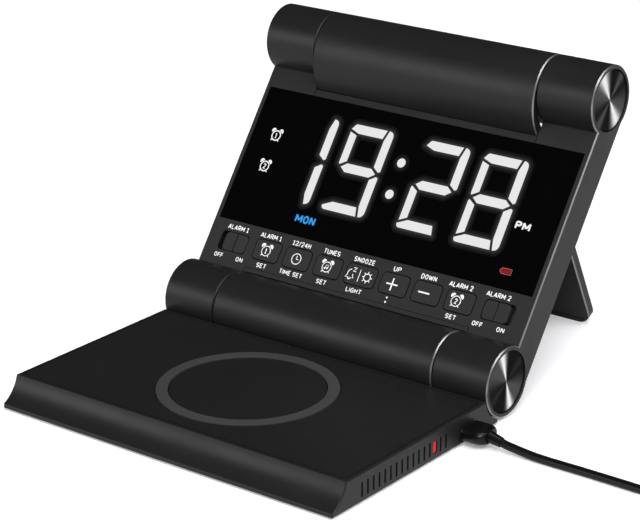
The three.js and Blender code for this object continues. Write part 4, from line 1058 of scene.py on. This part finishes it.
# Cross-head screws in the back cover: sizes, insets with their rises, and places on the panel
SCREW_R = 1.7
SCREW_T = 0.8
SCREW_SIDES = 32
TOP_FACING = 0.9
SCREW_DOME = ((0.25, 0.16), (0.45, 0.1), (0.4, 0.03))
CROSS_LENGTH = 2.1
CROSS_WIDTH = 0.42
CROSS_DEPTH = 0.9
CROSS_LIFT = 0.2
SCREW_PLACES = ((-60.5, 19.5), (60.5, 19.5), (-60.5, 63.0), (60.5, 63.0))


def pick_top(obj):
    """Selects, for edit mode, the faces that point up."""
    bpy.context.tool_settings.mesh_select_mode = (False, False, True)
    for face in obj.data.polygons:
        face.select = face.normal.z > TOP_FACING
    only(obj)
    bpy.ops.object.mode_set(mode="EDIT")


def make_screw():
    """A pan head about Z, half sunk, domed by insets, with a cross cut into it."""
    bpy.ops.object.select_all(action="DESELECT")
    bpy.ops.mesh.primitive_cylinder_add(vertices=SCREW_SIDES, radius=SCREW_R, depth=SCREW_T)
    head = bpy.context.object
    pick_top(head)
    for inset, rise in SCREW_DOME:
        bpy.ops.mesh.inset(thickness=inset)
        bpy.ops.transform.translate(value=(0, 0, rise))
    bpy.ops.object.mode_set(mode="OBJECT")
    for length, width in ((CROSS_LENGTH, CROSS_WIDTH), (CROSS_WIDTH, CROSS_LENGTH)):
        bpy.ops.mesh.primitive_cube_add(size=1, location=(0, 0, SCREW_T / 2 + CROSS_LIFT))
        cutter = bpy.context.object
        cutter.scale = (length, width, CROSS_DEPTH)
        apply_place(cutter)
        add_modifier(head, "recess", "BOOLEAN", object=cutter, operation="DIFFERENCE")
        only(head)
        bpy.ops.object.modifier_apply(modifier="recess")
        bpy.data.objects.remove(cutter)
    return head


def add_screws():
    pattern = make_screw()
    for index, (x, s) in enumerate(SCREW_PLACES):
        screw = pattern.copy()
        screw.data = pattern.data.copy()
        scene.collection.objects.link(screw)
        screw.matrix_world = PANEL @ Matrix.Translation((x, s, BACK_N)) @ Matrix.Rotation(math.pi, 4, "X")
        apply_place(screw)
        dress(screw, f"back_screw_{index + 1}", STEEL, "panel")
        only(screw)
        bpy.ops.object.shade_smooth_by_angle(angle=SHARP_ANGLE)
    bpy.data.objects.remove(pattern)


add_screws()

# Floor, in metres: it grows lighter away from the clock, though not in the clock's reflections
FLOOR_SIZE = 14
FLOOR_DROP = 0.0001
FLOOR_LIFT = (0.25, 0.95)
LIFT_REACH = (0.7, 3.0)


def floor_finish():
    finish = grained("pale_floor", grey(0.88), grey(0.90), (0.7, 0.8), 40.0, 0.0, specular=0.2)
    tree = finish.node_tree
    place = add_node(tree, "ShaderNodeTexCoord").outputs["Object"]
    away = add_node(tree, "ShaderNodeVectorMath", {0: place}, operation="LENGTH")
    lift = add_node(tree, "ShaderNodeMapRange", {
        "Value": away.outputs["Value"], "From Min": LIFT_REACH[0], "From Max": LIFT_REACH[1],
        "To Min": FLOOR_LIFT[0], "To Max": FLOOR_LIFT[1],
    })
    rays = add_node(tree, "ShaderNodeLightPath").outputs
    seen = add_maths(tree, "MAXIMUM", rays["Is Camera Ray"], rays["Is Transmission Ray"])
    feed(tree, tree.nodes["Principled BSDF"], {
        "Emission Color": (1, 1, 1, 1),
        "Emission Strength": add_maths(tree, "MULTIPLY", seen, lift.outputs["Result"]),
    })
    return finish


bpy.ops.object.select_all(action="DESELECT")
bpy.ops.mesh.primitive_plane_add(size=FLOOR_SIZE, location=(0, 0, -FLOOR_DROP))
floor = bpy.context.object
floor.name = "floor"
floor.data.materials.append(floor_finish())

# Studio light: a dim surround, dimmer still in reflections, and four softboxes
ROOM_COLOUR = (0.95, 0.97, 1.0, 1)
ROOM_LIGHT = 0.13
ROOM_IN_GLOSS = 0.04


def light_room():
    world = bpy.data.worlds.new("studio")
    scene.world = world
    world.use_nodes = True
    tree = world.node_tree
    gloss = add_node(tree, "ShaderNodeLightPath").outputs["Is Glossy Ray"]
    dimmed = add_maths(tree, "MULTIPLY", gloss, ROOM_IN_GLOSS - ROOM_LIGHT)
    strength = add_maths(tree, "ADD", dimmed, ROOM_LIGHT)
    feed(tree, tree.nodes["Background"], {"Color": ROOM_COLOUR, "Strength": strength})


def softbox(name, place, aim, width, height, power):
    """A rectangular light that looks from its place at its aim; sizes in metres, power in watts."""
    data = bpy.data.lights.new(name, "AREA")
    data.shape = "RECTANGLE"
    data.size = width
    data.size_y = height
    data.energy = power
    light = bpy.data.objects.new(name, data)
    light.location = place
    light.rotation_euler = (Vector(aim) - Vector(place)).to_track_quat("-Z", "Y").to_euler()
    scene.collection.objects.link(light)


light_room()
softbox("key_box", (0.95, -1.25, 1.5), (0.03, 0.0, 0.03), 1.0, 1.0, 40)
softbox("top_box", (0.3, -0.1, 1.8), (0.03, 0.0, 0.0), 1.0, 1.0, 11)
softbox("front_box", (-0.8, -1.05, 0.43), (0, 0.03, 0.08), 0.8, 0.5, 6.2)
softbox("edge_box", (0.95, 0.12, 0.88), (0.05, 0.03, 0.06), 1.2, 0.2, 7)
